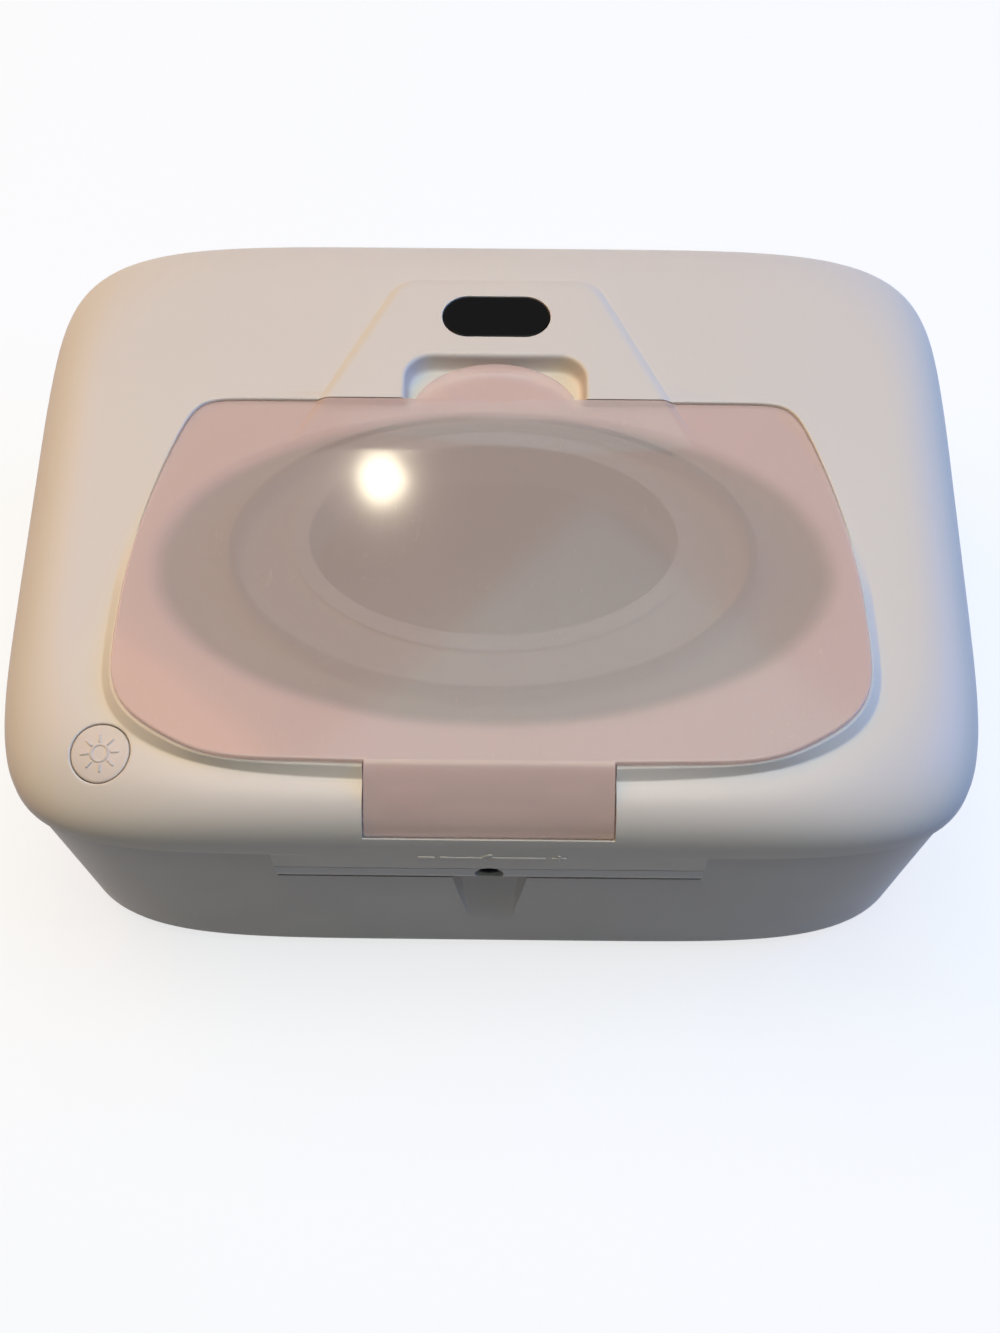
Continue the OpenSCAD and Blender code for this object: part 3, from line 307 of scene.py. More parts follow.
# %% Heights of the lid
BEND = 0.07


def rise(y):
    f = (np.asarray(y, float) - FLIP_REAR_Y) / (FLIP_FRONT_Y - FLIP_REAR_Y)
    near_rear = (f + BEND) ** 2 / (4 * BEND)
    near_front = 1 - (1 + BEND - f) ** 2 / (4 * BEND)
    f = np.where(np.abs(f) < BEND, near_rear, np.where(np.abs(f - 1) < BEND, near_front, f))
    return np.clip(f, 0, 1)


def top_height(y):
    return TOP_REAR + (TOP_FRONT - TOP_REAR) * rise(y)


def cos_sin(degrees):
    return math.cos(math.radians(degrees)), math.sin(math.radians(degrees))


def level(line, z):
    return np.column_stack([line, np.full(len(line), float(z))])


def stack(line, rows, z=0):
    """Level rings: each row is how far the line grows, and its height over z."""
    return [level(line(grow), z + up) for grow, up in rows]


def drape(line, drop):
    return np.column_stack([line, top_height(line[:, 1]) - drop])


def soft_edge(angle, wall):
    """Ring of the rounded edge: 0 degrees is the upright side, 90 the top."""
    c, s = cos_sin(angle)
    power = BELT_POWER + (TOP_POWER - BELT_POWER) * angle / 90
    line = belt(EDGE_IN * (1 - c) + wall, power)
    pull = (1 - np.minimum(1, np.abs(line[:, 0]) / 100) ** 6) ** 2 * (line[:, 1] <= 0)
    line[:, 1] -= EDGE_PULL * (1 - c) * pull
    return drape(line, EDGE_DOWN * (1 - s) + wall * s)


print("height at the rear, middle and front:", np.round(top_height([-80, -20, 60]), 2))

# %% [markdown]
# ## Mesh helpers
# A loft joins each ring to the next with four-sided faces. Openings are cut with boolean
# tools afterwards, as a mould maker cuts them into the same block. The mesh is built in
# millimetres, because boolean cuts are more exact on numbers of that size.

# %% Lofts, prisms and cuts
def new_piece(verts, faces):
    mesh = bpy.data.meshes.new("tool")
    mesh.from_pydata(np.asarray(verts, float).tolist(), [], faces)
    mesh.validate()
    return outward(add_object("tool", mesh))


def outward(piece):
    """Turns the faces of a closed piece to the outside."""
    work = bmesh.new()
    work.from_mesh(piece.data)
    bmesh.ops.recalc_face_normals(work, faces=work.faces)
    if work.calc_volume(signed=True) < 0:
        bmesh.ops.reverse_faces(work, faces=work.faces)
    work.to_mesh(piece.data)
    work.free()
    return piece


def loft(rings, closed=False):
    """Skin over a stack of rings, joined into a loop or capped at both ends."""
    n, count = len(rings[0]), len(rings)
    faces = []
    for i in range(count if closed else count - 1):
        a, b = i * n, ((i + 1) % count) * n
        faces += [(a + k, a + (k + 1) % n, b + (k + 1) % n, b + k) for k in range(n)]
    if not closed:
        faces += [tuple(reversed(range(n))), tuple(range((count - 1) * n, count * n))]
    return new_piece(np.vstack(rings), faces)


def prism(line, near, far, axis=2):
    """Outline drawn out along an axis: 0 for X, 1 for Y, 2 for Z."""
    line = np.asarray(line, float)
    return loft([np.insert(line, axis, end, axis=1) for end in (near, far)])


def side_prism(line, x0, x1):
    return prism(line, x0, x1, 0)


def rear_prism(line, y0, y1):
    return prism(line, y0, y1, 1)


def block(xs, ys, zs):
    """Block between two values on each axis. One number for X is half the width."""
    x0, x1 = xs if isinstance(xs, tuple) else (-xs, xs)
    return prism([(x0, ys[0]), (x1, ys[0]), (x1, ys[1]), (x0, ys[1])], *zs)


def ellipse(x, y, a, b, count=64):
    t = np.linspace(0, 2 * np.pi, count, endpoint=False)
    return np.column_stack([x + a * np.cos(t), y + b * np.sin(t)])


def circle(x, y, r, count=64):
    return ellipse(x, y, r, r, count)


def rod(x, y, r, z0, z1):
    return prism(circle(x, y, r, 48), z0, z1)


def rods(places, r, z0, z1):
    return [rod(x, y, r, z0, z1) for x, y in places]


def mirror(piece):
    piece.data.transform(Matrix.Scale(-1, 4, (1, 0, 0)))
    return outward(piece)


def both_sides(make, *args):
    """Makes a piece and its mirror image across X."""
    return [make(*args), mirror(make(*args))]


def paired(*places):
    """Each place and its mirror image across X."""
    return [(side * x, y) for x, y in places for side in (-1, 1)]


def four_places(x, y, y0=0):
    """The four places that lie x to the sides and y before and behind y0."""
    return [(sx * x, y0 + sy * y) for sx in (-1, 1) for sy in (-1, 1)]


def gather(*pieces):
    """Puts pieces that don't touch into one object."""
    verts, faces = [], []
    for piece in pieces:
        start = len(verts)
        verts += [v.co[:] for v in piece.data.vertices]
        faces += [tuple(start + i for i in p.vertices) for p in piece.data.polygons]
        bpy.data.meshes.remove(piece.data)
    return new_piece(verts, faces)


def apply_change(piece, kind, **settings):
    """Runs one modifier and keeps its mesh."""
    change = piece.modifiers.new("change", kind)
    for key, value in settings.items():
        setattr(change, key, value)
    mesh = bpy.data.meshes.new_from_object(piece.evaluated_get(bpy.context.evaluated_depsgraph_get()))
    piece.modifiers.clear()
    old, piece.data = piece.data, mesh
    mesh.name = piece.name
    bpy.data.meshes.remove(old)
    return piece


def combine(piece, tool, how):
    """Boolean of piece and tool. The tool is used up."""
    apply_change(piece, "BOOLEAN", object=tool, operation=how, solver="EXACT")
    bpy.data.meshes.remove(tool.data)
    return piece


def join(piece, tool):
    return combine(piece, tool, "UNION")


def cut(piece, tool):
    return combine(piece, tool, "DIFFERENCE")


def keep_common(piece, tool):
    return combine(piece, tool, "INTERSECT")


def soften(piece, radius, angle, segments=2):
    """Rounds the sharp edges of a piece, as a mould maker breaks them."""
    return apply_change(piece, "BEVEL", width=radius, segments=segments, limit_method="ANGLE",
                        angle_limit=math.radians(angle))


def dress(piece, name, body, slot, finish, *nodes, crease=32):
    """Turns a piece from millimetres into metres, smooths its shading and gives it its place."""
    piece.name = piece.data.name = name
    piece.data.transform(Matrix.Scale(MM, 4))
    piece.data.shade_smooth()
    piece.data.set_sharp_from_angle(angle=math.radians(crease))
    even = piece.modifiers.new("even_shading", "WEIGHTED_NORMAL")
    even.keep_sharp = True
    even.weight = 80
    piece.data.materials.clear()
    piece.data.materials.append(bpy.data.materials[finish])
    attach(piece, body)
    if nodes:
        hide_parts(*nodes)
    print(f"{name}: {len(piece.data.polygons)} faces on {body}")


# %% [markdown]
# ## Finishes
# A moulded part is never one flat colour. Its surface carries a fine spark texture from
# the mould, the gloss wanders a little where hands have polished it, and the colour
# drifts by a shade over the width of a hand. One builder makes these three layers from
# noise at real sizes, and each row of the table sets the amounts of one finish. The base
# and the latch pads get a darker copy of the shell's cream, which is painted shade below
# the lid. The flip lid's pin is dull, so it draws no line through the strip.

# %% A builder for moulded and other solid finishes
def solid_finish(name, colour, drift, roughness, uneven, grain_mm, relief_mm, drift_mm=60,
                 metallic=0, specular=0.5):
    """Colour drifts to `drift`, roughness wanders by `uneven`, and a grain gives the relief."""
    tree, face = new_finish(name)
    place = object_place(tree)

    def noise(size_mm, detail):
        values = {"Vector": place, "Scale": 1 / (size_mm * MM), "Detail": detail}
        return add_node(tree, "TexNoise", values).outputs["Fac"]

    gloss = add_node(tree, "MapRange", {
        "Value": noise(drift_mm / 4, 4), "To Min": roughness - uneven, "To Max": roughness + uneven})
    relief = add_node(tree, "Bump", {
        "Height": noise(grain_mm, 2), "Distance": relief_mm * MM, "Strength": 0.5})
    set_inputs(tree, face, {
        "Base Color": blend(tree, noise(drift_mm, 3), colour, drift), "Metallic": metallic,
        "Roughness": gloss.outputs["Result"], "Normal": relief.outputs["Normal"],
        "Specular IOR Level": specular})


SHELL, SHELL_IN_PAINTED_SHADE = "cream_moulded_shell", "cream_moulded_painted_shade"
# colour, what it drifts to, roughness, its spread, grain and relief in mm, and where they
# aren't the usual ones: drift in mm, metal, specular
for row in [
    (SHELL, (0.80, 0.745, 0.665), (0.765, 0.715, 0.645), 0.42, 0.05, 0.5, 0.012, 60, 0, 0.45),
    # a darker copy of the shell's cream: painted shade, for the base and the latch pads below the lid
    (SHELL_IN_PAINTED_SHADE, (0.68, 0.64, 0.59), (0.65, 0.615, 0.57), 0.46, 0.05, 0.5, 0.012, 60, 0, 0.4),
    ("white_moulded_inside", (0.80, 0.78, 0.74), (0.77, 0.75, 0.71), 0.5, 0.05, 0.6, 0.015),
    ("cream_button", (0.77, 0.69, 0.62), (0.74, 0.67, 0.61), 0.45, 0.04, 0.4, 0.01, 12),
    ("white_tub", (0.82, 0.81, 0.78), (0.79, 0.78, 0.75), 0.38, 0.05, 0.5, 0.01),
    ("soft_pale_seal", (0.80, 0.74, 0.67), (0.75, 0.70, 0.64), 0.62, 0.06, 0.8, 0.02),
    ("dark_rubber_foot", (0.045, 0.045, 0.047), (0.06, 0.06, 0.062), 0.75, 0.08, 0.5, 0.03, 6),
    ("zinc_plated_steel", (0.62, 0.62, 0.64), (0.55, 0.56, 0.58), 0.32, 0.08, 0.25, 0.01, 5, 1),
    ("dull_zinc_pin", (0.42, 0.39, 0.37), (0.38, 0.36, 0.34), 0.62, 0.06, 0.25, 0.01, 5, 0, 0.2),
    ("rolled_aluminium", (0.72, 0.73, 0.74), (0.66, 0.67, 0.69), 0.36, 0.08, 0.4, 0.01, 25, 1),
    ("amber_heater_film", (0.55, 0.24, 0.05), (0.48, 0.20, 0.05), 0.3, 0.06, 0.8, 0.01),
    ("grey_felt", (0.50, 0.50, 0.48), (0.40, 0.40, 0.39), 0.95, 0.04, 0.35, 0.2, 8, 0, 0.1),
    ("tinned_fuse", (0.66, 0.65, 0.62), (0.58, 0.57, 0.55), 0.35, 0.08, 0.3, 0.01, 4, 0.9),
    ("black_component", (0.018, 0.018, 0.02), (0.03, 0.03, 0.032), 0.45, 0.08, 0.3, 0.01, 5),
    ("yellow_led", (0.80, 0.70, 0.28), (0.72, 0.62, 0.22), 0.25, 0.05, 0.5, 0.005, 3),
    ("black_lead", (0.02, 0.02, 0.022), (0.03, 0.03, 0.03), 0.5, 0.06, 0.4, 0.015),
    ("red_wire", (0.55, 0.05, 0.035), (0.48, 0.04, 0.03), 0.42, 0.06, 0.4, 0.01),
    ("white_wire", (0.75, 0.75, 0.73), (0.68, 0.68, 0.66), 0.42, 0.06, 0.4, 0.01),
    ("red_plunger", (0.60, 0.06, 0.04), (0.52, 0.05, 0.035), 0.4, 0.05, 0.4, 0.01),
]:
    solid_finish(*row)
print("solid finishes:", len(bpy.data.materials))

# %% [markdown]
# The flip lid is the one finish that light goes through. Its two skins are each a little
# see-through, so the dish and its rings show below. Its colour carries painted light and
# painted shade: it is painted paler where the white ledge lies close under it, as light
# scattered through smoky plastic makes it look, and darker over an oval of the dish's size,
# as painted shade of the dish below. Daily wiping has left hair-fine scratches, which are
# drawn as thin waves in the relief and in the gloss. The strip at the rear is matt, so no
# bright line runs across it.

# %% Smoky see-through finish of the flip lid
# the paler tint holds painted light from the ledge under the lid, the darker one painted shade over the
# dish
FLIP_TINT_WITH_PAINTED_LIGHT, FLIP_PAINTED_SHADE_TINT = (0.90, 0.68, 0.60), (0.60, 0.49, 0.42)
FLIP_ALPHA = 0.5
SHADE_OVAL_Y, SHADE_OVAL_A, SHADE_OVAL_B = -21, 84, 45
SHADE_OVAL_EDGE, SHADE_OVAL_WANDER = (0.98, 1.06), 0.06
SCRATCHES = [(20, 3.2, 0.7), (-38, 4.1, 1.1), (75, 5, 0.5)]
SCRATCH_STRETCH, SCRATCH_SHARE = 5, 0.0016
POLISHED, DULLED, MATT = 0.09, 0.45, 0.5
MATT_FROM_Y, MATT_FULL_Y = -75.6, -77.2

smoky_tree, smoky_face = new_finish("smoky_flip_lid")
smoky_place = object_place(smoky_tree)


def smoky_node(kind, values, output, **settings):
    return add_node(smoky_tree, kind, values, **settings).outputs[output]


oval_place = smoky_node("Mapping", {
    "Vector": smoky_place, "Location": (0, -SHADE_OVAL_Y / SHADE_OVAL_B, 0),
    "Scale": (1 / (SHADE_OVAL_A * MM), 1 / (SHADE_OVAL_B * MM), 0)}, "Vector")
from_middle = smoky_node("VectorMath", {0: oval_place}, "Value", operation="LENGTH")
cloud = smoky_node("TexNoise", {"Vector": smoky_place, "Scale": 1 / (40 * MM), "Detail": 3}, "Fac")
wandering = add_math(smoky_tree, "MULTIPLY_ADD", cloud, SHADE_OVAL_WANDER, from_middle)
painted_light_share = smoky_node("MapRange", {
    "Value": wandering, "From Min": SHADE_OVAL_EDGE[0], "From Max": SHADE_OVAL_EDGE[1]},
    "Result", interpolation_type="SMOOTHSTEP")


def scratch_lines(angle, spacing_mm, wander):
    """Thin lines where a stretched noise passes through its middle value."""
    scale = (1 / (spacing_mm * MM), 1 / (spacing_mm * SCRATCH_STRETCH * MM), 1)
    turned = smoky_node("Mapping", {
        "Vector": smoky_place, "Rotation": (0, 0, math.radians(angle)), "Scale": scale}, "Vector")
    waves = smoky_node("TexNoise", {"Vector": turned, "Scale": 1, "Detail": 2, "Distortion": wander}, "Fac")
    return add_math(smoky_tree, "COMPARE", waves, 0.5, SCRATCH_SHARE)


scratches = scratch_lines(*SCRATCHES[0])
for row in SCRATCHES[1:]:
    scratches = add_math(smoky_tree, "MAXIMUM", scratches, scratch_lines(*row))
patches = smoky_node("TexNoise", {"Vector": smoky_place, "Scale": 1 / (30 * MM)}, "Fac")
worn = smoky_node("MapRange", {"Value": patches, "From Min": 0.46, "From Max": 0.62}, "Result")
scratched = add_math(smoky_tree, "MULTIPLY", scratches, worn)
gloss = smoky_node("MapRange", {"Value": scratched, "To Min": POLISHED, "To Max": DULLED}, "Result")
along_y = smoky_node("SeparateXYZ", {0: smoky_place}, "Y")
matt = smoky_node("MapRange", {
    "Value": along_y, "From Min": MATT_FROM_Y * MM, "From Max": MATT_FULL_Y * MM, "To Max": MATT}, "Result")
relief = smoky_node("Bump", {"Height": scratched, "Distance": 0.03 * MM, "Strength": 0.6}, "Normal")
set_inputs(smoky_tree, smoky_face, {
    # the colour is blended from painted shade over the dish's oval to painted light over the ledge
    "Base Color": blend(smoky_tree, painted_light_share, FLIP_PAINTED_SHADE_TINT, FLIP_TINT_WITH_PAINTED_LIGHT), "Normal": relief,
    "Roughness": add_math(smoky_tree, "MAXIMUM", gloss, matt), "Alpha": FLIP_ALPHA,
    "IOR": 1.5, "Coat Weight": 0.3, "Coat Roughness": 0.06})
print("smoky finish, seen through", round((1 - FLIP_ALPHA) ** 2, 2))

# %% [markdown]
# The display window is polished black. It mirrors the room only faintly, because it is
# set low between pale walls, so its mirror strength is kept under that of bare plastic.
# The boards inside show when the lid is taken apart, and get a solder mask with tracks.

# %% Polished black window and green board
solid_finish("polished_black_window", (0.003, 0.003, 0.003), (0.005, 0.005, 0.005),
             0.05, 0.02, 1.5, 0.002, 9, 0, 0.07)

board_tree, board_face = new_finish("green_board")
tracks = add_node(board_tree, "TexBrick", {
    "Vector": object_place(board_tree), "Scale": 1 / (9 * MM), "Mortar Size": 0.06,
    "Color1": (0.015, 0.12, 0.05, 1), "Color2": (0.02, 0.14, 0.06, 1), "Mortar": (0.05, 0.24, 0.10, 1)})
set_inputs(board_tree, board_face, {"Base Color": tracks.outputs["Color"], "Roughness": 0.35})
print("finishes in all:", len(bpy.data.materials))

# %% [markdown]
# ## Lid
# The lid's top shell is the piece that carries the whole look: the upright belt, the soft
# edge that turns over into the top, the raised rim round the flip lid, and the dish under
# it. All of that is one stack of rings, from the seam over the top down to the mouth, and
# back on the underside.

# %% Skin of the lid
def eased(start, end, share):
    return start + (end - start) * share


# the rim round the flip lid: distance outside it, share of the rise, depth of the lip in mm
RIM_PROFILE = [
    (3.1, 0, 0), (2.85, 0.006, 0), (2.65, 0.03, 0), (2.48, 0.085, 0), (2.3, 0.16, 0), (1.6, 0.51, 0),
    (1.05, 0.785, 0), (0.9, 0.86, 0), (0.78, 0.915, 0.02), (0.67, 0.955, 0.07), (0.56, 0.982, 0.16),
    (0.47, 0.997, 0.34), (0.4, 1, 0.7), (0.36, 1, 1.6), (0.35, 1, 3)]
# the dish: share of the way in, share of the depth left
DISH_PROFILE = [
    (0, 1), (0.03, 0.985), (0.07, 0.93), (0.12, 0.83), (0.2, 0.64), (0.3, 0.455), (0.4, 0.31),
    (0.52, 0.19), (0.65, 0.095), (0.8, 0.035), (0.9, 0.01), (1, 0)]


def rim_ring(grow, share, lip):
    line = flip_line(grow)
    top = top_height(line[:, 1])
    climb = LEDGE_Z - top
    z = top + np.maximum(climb, 0) * share - np.minimum(lip, np.maximum(-climb, 0))
    return np.column_stack([line, z])


def dish_ring(share, left):
    return level(dish_line(12 * share, 7.4 * share, 0.2 * share), DISH_Z + (LEDGE_Z - DISH_Z) * left)


def between(ring, far_ring, steps):
    """Rings between two rings, on the surface of the lid."""
    return [drape(eased(ring[:, :2], far_ring[:, :2], i / (steps + 1)), 0.1 * (1 - i / (steps + 1)))
            for i in range(1, steps + 1)]


def tilted_line(rear_grow, front_grow):
    """Outline of the flip lid that grows more and more towards the front."""
    line = flip_line(rear_grow)
    return line + (flip_line(front_grow) - line) * rise(line[:, 1:])


MID_Z = DISH_Z + (LEDGE_Z - DISH_Z) * 0.35
edge_rings = [soft_edge(angle, 0.1) for angle in range(0, 91, 6)]
rim_rings = [rim_ring(*row) for row in RIM_PROFILE]
outside = stack(belt, [(0.7, 0), (0.22, 0.16), (0, 0.55)], SEAM_Z) + [drape(belt(0.05), EDGE_DOWN + 1.5)]
outside += edge_rings + between(edge_rings[-1], rim_rings[0], 7) + rim_rings
outside += [dish_ring(*row) for row in DISH_PROFILE]
outside += [level(eased(dish_line(12, 7.4, 0.2), mouth_line(2.1), share), DISH_Z) for share in (0.06, 0.5)]
underside = stack(mouth_line, [(2.1, 0), (2.1, -DISH_WALL)], DISH_Z)
underside += [level(dish_line(11, 6, -1.6), DISH_Z - DISH_WALL),
              level(dish_line(2.5, 1.2, -2), MID_Z - DISH_WALL),
              level(tilted_line(-1.6, 2.2), LEDGE_Z - SHELL_WALL), drape(tilted_line(0.6, 3.4), SHELL_WALL)]
underside += [soft_edge(angle, SHELL_WALL) for angle in (82, 68, 52, 35, 18)]
underside += [drape(belt(SHELL_WALL), EDGE_DOWN), level(belt(SHELL_WALL), SEAM_Z)]
lid_top = loft(outside + underside, closed=True)
surface = BVHTree.FromObject(lid_top, bpy.context.evaluated_depsgraph_get())
print("skin of the lid:", len(lid_top.data.polygons), "faces")

# %% [markdown]
# The console is a low table around the display window. It stands one millimetre proud,
# with a soft shoulder all round. Its outline is drawn by four arcs of one radius, so
# growing the radius moves the whole outline outwards evenly, ring by ring.

# %% Console and finger recess
def arcs(right, grow, count=16):
    """Closed outline from the corner arcs of its right half, which the left half mirrors.

    Each arc is centre x, centre y, radius, first and last angle in degrees."""
    left = [(-x, y, r, 180 - end, 180 - start) for x, y, r, start, end in reversed(right)]
    points = []
    for x, y, r, start, end in right + left:
        for t in np.linspace(start, end, count):
            c, s = cos_sin(t)
            points.append((x + (r + grow) * c, y + (r + grow) * s))
    return np.array(points)


CONSOLE_R, CONSOLE_SLOPE = 7, 25.4
CONSOLE_FAR, CONSOLE_NEAR = (21.4, 62.3), (42.3, 18.25)
console_arcs = [(*CONSOLE_NEAR, CONSOLE_R, -90, CONSOLE_SLOPE),
                (*CONSOLE_FAR, CONSOLE_R, CONSOLE_SLOPE, 90)]
SHOULDER = [
    (1.7, -1.3), (1.7, -0.16), (1.45, -0.06), (1.2, 0.03), (0.85, 0.2), (0.5, 0.38), (0.15, 0.56),
    (-0.2, 0.73), (-0.55, 0.88), (-0.95, 1.0), (-1.4, 1.07), (-1.9, 1.1), (-2.5, 1.1)]


def clear_of_flip(piece):
    """Cuts away what the flip lid lies in."""
    cut(piece, prism(flip_line(0.37), LEDGE_Z - 0.5, CONSOLE_TOP + 2))


console = loft(stack(lambda grow: arcs(console_arcs, grow), SHOULDER, TOP_FRONT))
clear_of_flip(console)

POCKET_HALF, POCKET_Z = 23.4, LEDGE_Z - 2.7
POCKET_REAR, POCKET_FRONT = FLIP_FRONT_Y + 0.25, FLIP_FRONT_Y + 14.4
REAR_R, FRONT_R = 0.8, 7
pocket_arcs = [(POCKET_HALF - REAR_R, POCKET_REAR + REAR_R, REAR_R, -90, 0),
               (POCKET_HALF - FRONT_R, POCKET_FRONT - FRONT_R, FRONT_R, 0, 90)]
pocket_shell = prism(arcs(pocket_arcs, 2), POCKET_Z - 2, TOP_FRONT - 0.5)
clear_of_flip(pocket_shell)
POCKET_HOLLOW = [
    (-2.2, 0), (-1.3, 0.12), (-0.7, 0.45), (-0.32, 1), (-0.12, 1.8), (0, 3.3), (0.04, 4.4),
    (0.2, 5.2), (0.5, 5.68), (0.9, 5.93), (1.3, 6.01), (1.3, 8)]
pocket = loft(stack(lambda grow: arcs(pocket_arcs, grow), POCKET_HOLLOW, POCKET_Z))
print("console", CONSOLE_TOP - TOP_FRONT, "mm proud, recess", round(TOP_FRONT - POCKET_Z, 1), "mm deep")

# %% [markdown]
# At the rear, the strip of the flip lid needs a slot through the soft edge, and behind it
# a round trough that the strip swings in. Below the seam the shell ends in a skirt over
# the hinge housing. The button on the rear left corner stands square to the surface
# there, so its hole and its cap are made in a frame of their own.

# %% Trough, skirt and button hole
PIN_Y, PIN_Z, SWEEP_R = REAR_Y + 10.2, TOP_REAR - 4.6, 9.75
TROUGH_FRONT, TROUGH_HALF, SLOT_LOW = PIN_Y + 5.6, 29.65, TOP_REAR - 8.4
HINGE_Y, HINGE_Z = REAR_Y + 6.2, SEAM_Z - 9.5
INLET_R = 3.5
HOUSING_HALF, HOUSING_LEAN, HOUSING_LOW = 52, 0.3, HINGE_Z - 6.2


def housing_half(z):
    return HOUSING_HALF - HOUSING_LEAN * (SEAM_Z - z) / (SEAM_Z - HOUSING_LOW)


def housing_line(z0, z1, over, clear=0):
    """Outline of the hinge housing from the rear, drawn out by `over` at its upper end."""
    low_half, high_half = housing_half(z0) + clear, housing_half(z1) + clear
    return [(-low_half, z0), (low_half, z0), (high_half, z1 + over), (-high_half, z1 + over)]


def keep_inside(piece):
    """Keeps what is inside the skin of the lid."""
    rings = [level(belt(0.35), SEAM_Z - 20)] + [soft_edge(a, 0.35) for a in range(0, 91, 10)]
    rings += [drape(belt(30, TOP_POWER), 0.4), level(belt(60, TOP_POWER), TOP_REAR - 2)]
    keep_common(piece, loft(rings))


trough_wide = TROUGH_HALF + 1.6
trough = side_prism(circle(PIN_Y, PIN_Z, SWEEP_R + 1.2, 120), -trough_wide, trough_wide)
keep_common(trough, block(40, (REAR_Y + 0.9, TROUGH_FRONT + 1.1), (PIN_Z - 20, PIN_Z + 3.5)))
keep_inside(trough)
join(trough, block(trough_wide, (TROUGH_FRONT - 0.5, TROUGH_FRONT + 1.2), (PIN_Z - 5, LEDGE_Z - 1.2)))
slot = side_prism(circle(PIN_Y, PIN_Z, SWEEP_R, 120), -TROUGH_HALF, TROUGH_HALF)
keep_common(slot, block(40, (REAR_Y - 5, TROUGH_FRONT), (PIN_Z - 20, PIN_Z + 20)))
join(slot, block(TROUGH_HALF, (REAR_Y - 5, TROUGH_FRONT), (SLOT_LOW, TOP_REAR + 15)))

SPLIT_Z = HINGE_Z + 3.2
skirt = rear_prism(housing_line(SPLIT_Z, SEAM_Z, 0.7), REAR_Y, REAR_Y + SHELL_WALL)
catches = both_sides(block, (116.9, HALF_W - 1), (11, 21), (SEAM_Z + 0.4, PLATE_TOP))

BUTTON_R, BUTTON_GAP = 7.1, 0.22
button_frame = (Matrix.Translation((-92, -71.5, TOP_REAR - 1.1))
                @ Matrix.Rotation(math.radians(-6.6), 4, "Y") @ Matrix.Rotation(math.radians(12.3), 4, "X"))


def at_button(piece):
    piece.data.transform(button_frame)
    return piece


def lid_height(x, y):
    """Height of the lid's surface over a point of the button's own frame."""
    start = button_frame @ Vector((x, y, 20))
    hit, _, _, far = surface.ray_cast(start, -(button_frame.to_3x3() @ Vector((0, 0, 1))))
    return 20 - far


GUIDE_WALL, SWITCH_Z, SWITCH_SCREW_X = 1.5, -7, 11.2
guide = at_button(rod(0, 0, BUTTON_R + BUTTON_GAP + GUIDE_WALL, SWITCH_Z + 0.3, 3))
switch_posts = at_button(gather(*both_sides(rod, SWITCH_SCREW_X, 0, 2.4, SWITCH_Z, 3)))
guide = gather(guide, switch_posts)
keep_inside(guide)


def button_line(r):
    return circle(0, 0, r, 96)


def skin_ring(r, up):
    """Circle in the button's frame, laid onto the skin of the lid and lifted."""
    return np.array([(x, y, lid_height(x, y) + up) for x, y in button_line(r)])


HOLE_R = BUTTON_R + BUTTON_GAP
HOLE_EDGE = [(0, -0.5), (0.04, -0.3), (0.14, -0.14), (0.3, -0.05), (0.55, 0.01)]
hole_rings = [level(button_line(HOLE_R), -12)] + [skin_ring(HOLE_R + out, up) for out, up in HOLE_EDGE]
button_hole = at_button(loft(hole_rings + [level(button_line(HOLE_R + 0.55), 10)]))
print("slot", 2 * TROUGH_HALF, "mm wide, button frame at", [round(v, 1) for v in button_frame.translation])

# %% [markdown]
# Now the pieces of the shell are joined, and all its openings are cut in one go. Cutters
# that don't touch each other are gathered first, because each boolean has to walk
# through the whole shell.

# %% Join and cut the lid
LENS_Y, LENS_LONG, LENS_WIDE = 57.2, 28.6, 13.6


def pill(grow, rings):
    end = ((LENS_LONG - LENS_WIDE) / 2, LENS_Y, LENS_WIDE / 2 + grow, -90, 90)
    return loft(stack(lambda more: arcs([end], more, 32), rings))


lens_hole = pill(0.15, [(0, TOP_FRONT - 5), (0, CONSOLE_TOP - 0.35), (0.1, CONSOLE_TOP - 0.1),
                        (0.35, CONSOLE_TOP + 0.01), (0.35, CONSOLE_TOP + 2)])
inlet_hole = rear_prism(circle(0, HINGE_Z, INLET_R), REAR_Y - 1, REAR_Y + 4)
LID_SCREWS = paired((104, -45), (104, 44), (54, 77), (68, -76))
BOARD_Y, BOARD_Z = 59, SEAM_Z + 7.5
bosses = [rod(x, y, 3.5, PLATE_TOP + 2.4, top_height(y) - 1.6) for x, y in LID_SCREWS]
bosses += rods(four_places(32, 11, BOARD_Y), 3, BOARD_Z + 1.6, TOP_FRONT - 1)
join(lid_top, gather(skirt, *catches, *bosses, guide))
join(lid_top, trough)
join(lid_top, pocket_shell)
join(lid_top, console)
pin_bore = side_prism(circle(PIN_Y, PIN_Z, 1.26, 40), -trough_wide - 1, trough_wide + 1)
cut(lid_top, gather(pocket, lens_hole, button_hole, slot, inlet_hole))
cut(lid_top, pin_bore)
dress(lid_top, "lid_top", "lid", "shell_white", SHELL, "lid_top_shell")

# %% [markdown]
# ## Base
# The base is a cup that tapers by three and a half millimetres from the seam to a rounded
# foot. A bay for the hinge housing, a groove for the plug's cord and two notches for the
# latches are cut through its wall, as slides in the mould would leave them.

# %% Cup of the base
FOOT_Z, BASE_TOP = low("base_shell").z, SEAM_Z - SEAM_GAP
FLOOR_Z = FOOT_Z + SHELL_WALL
TOP_IN, LOW_IN, FOOT_ROUND = 1, 4.5, 6.2
LOW_POWER, TURN_POWER = 5.6, 5.7


def foot_ring(angle):
    c, s = cos_sin(angle)
    line = belt(LOW_IN + FOOT_ROUND * (1 - s), eased(LOW_POWER, TURN_POWER, s))
    return level(line, FOOT_Z + FOOT_ROUND * (1 - c))


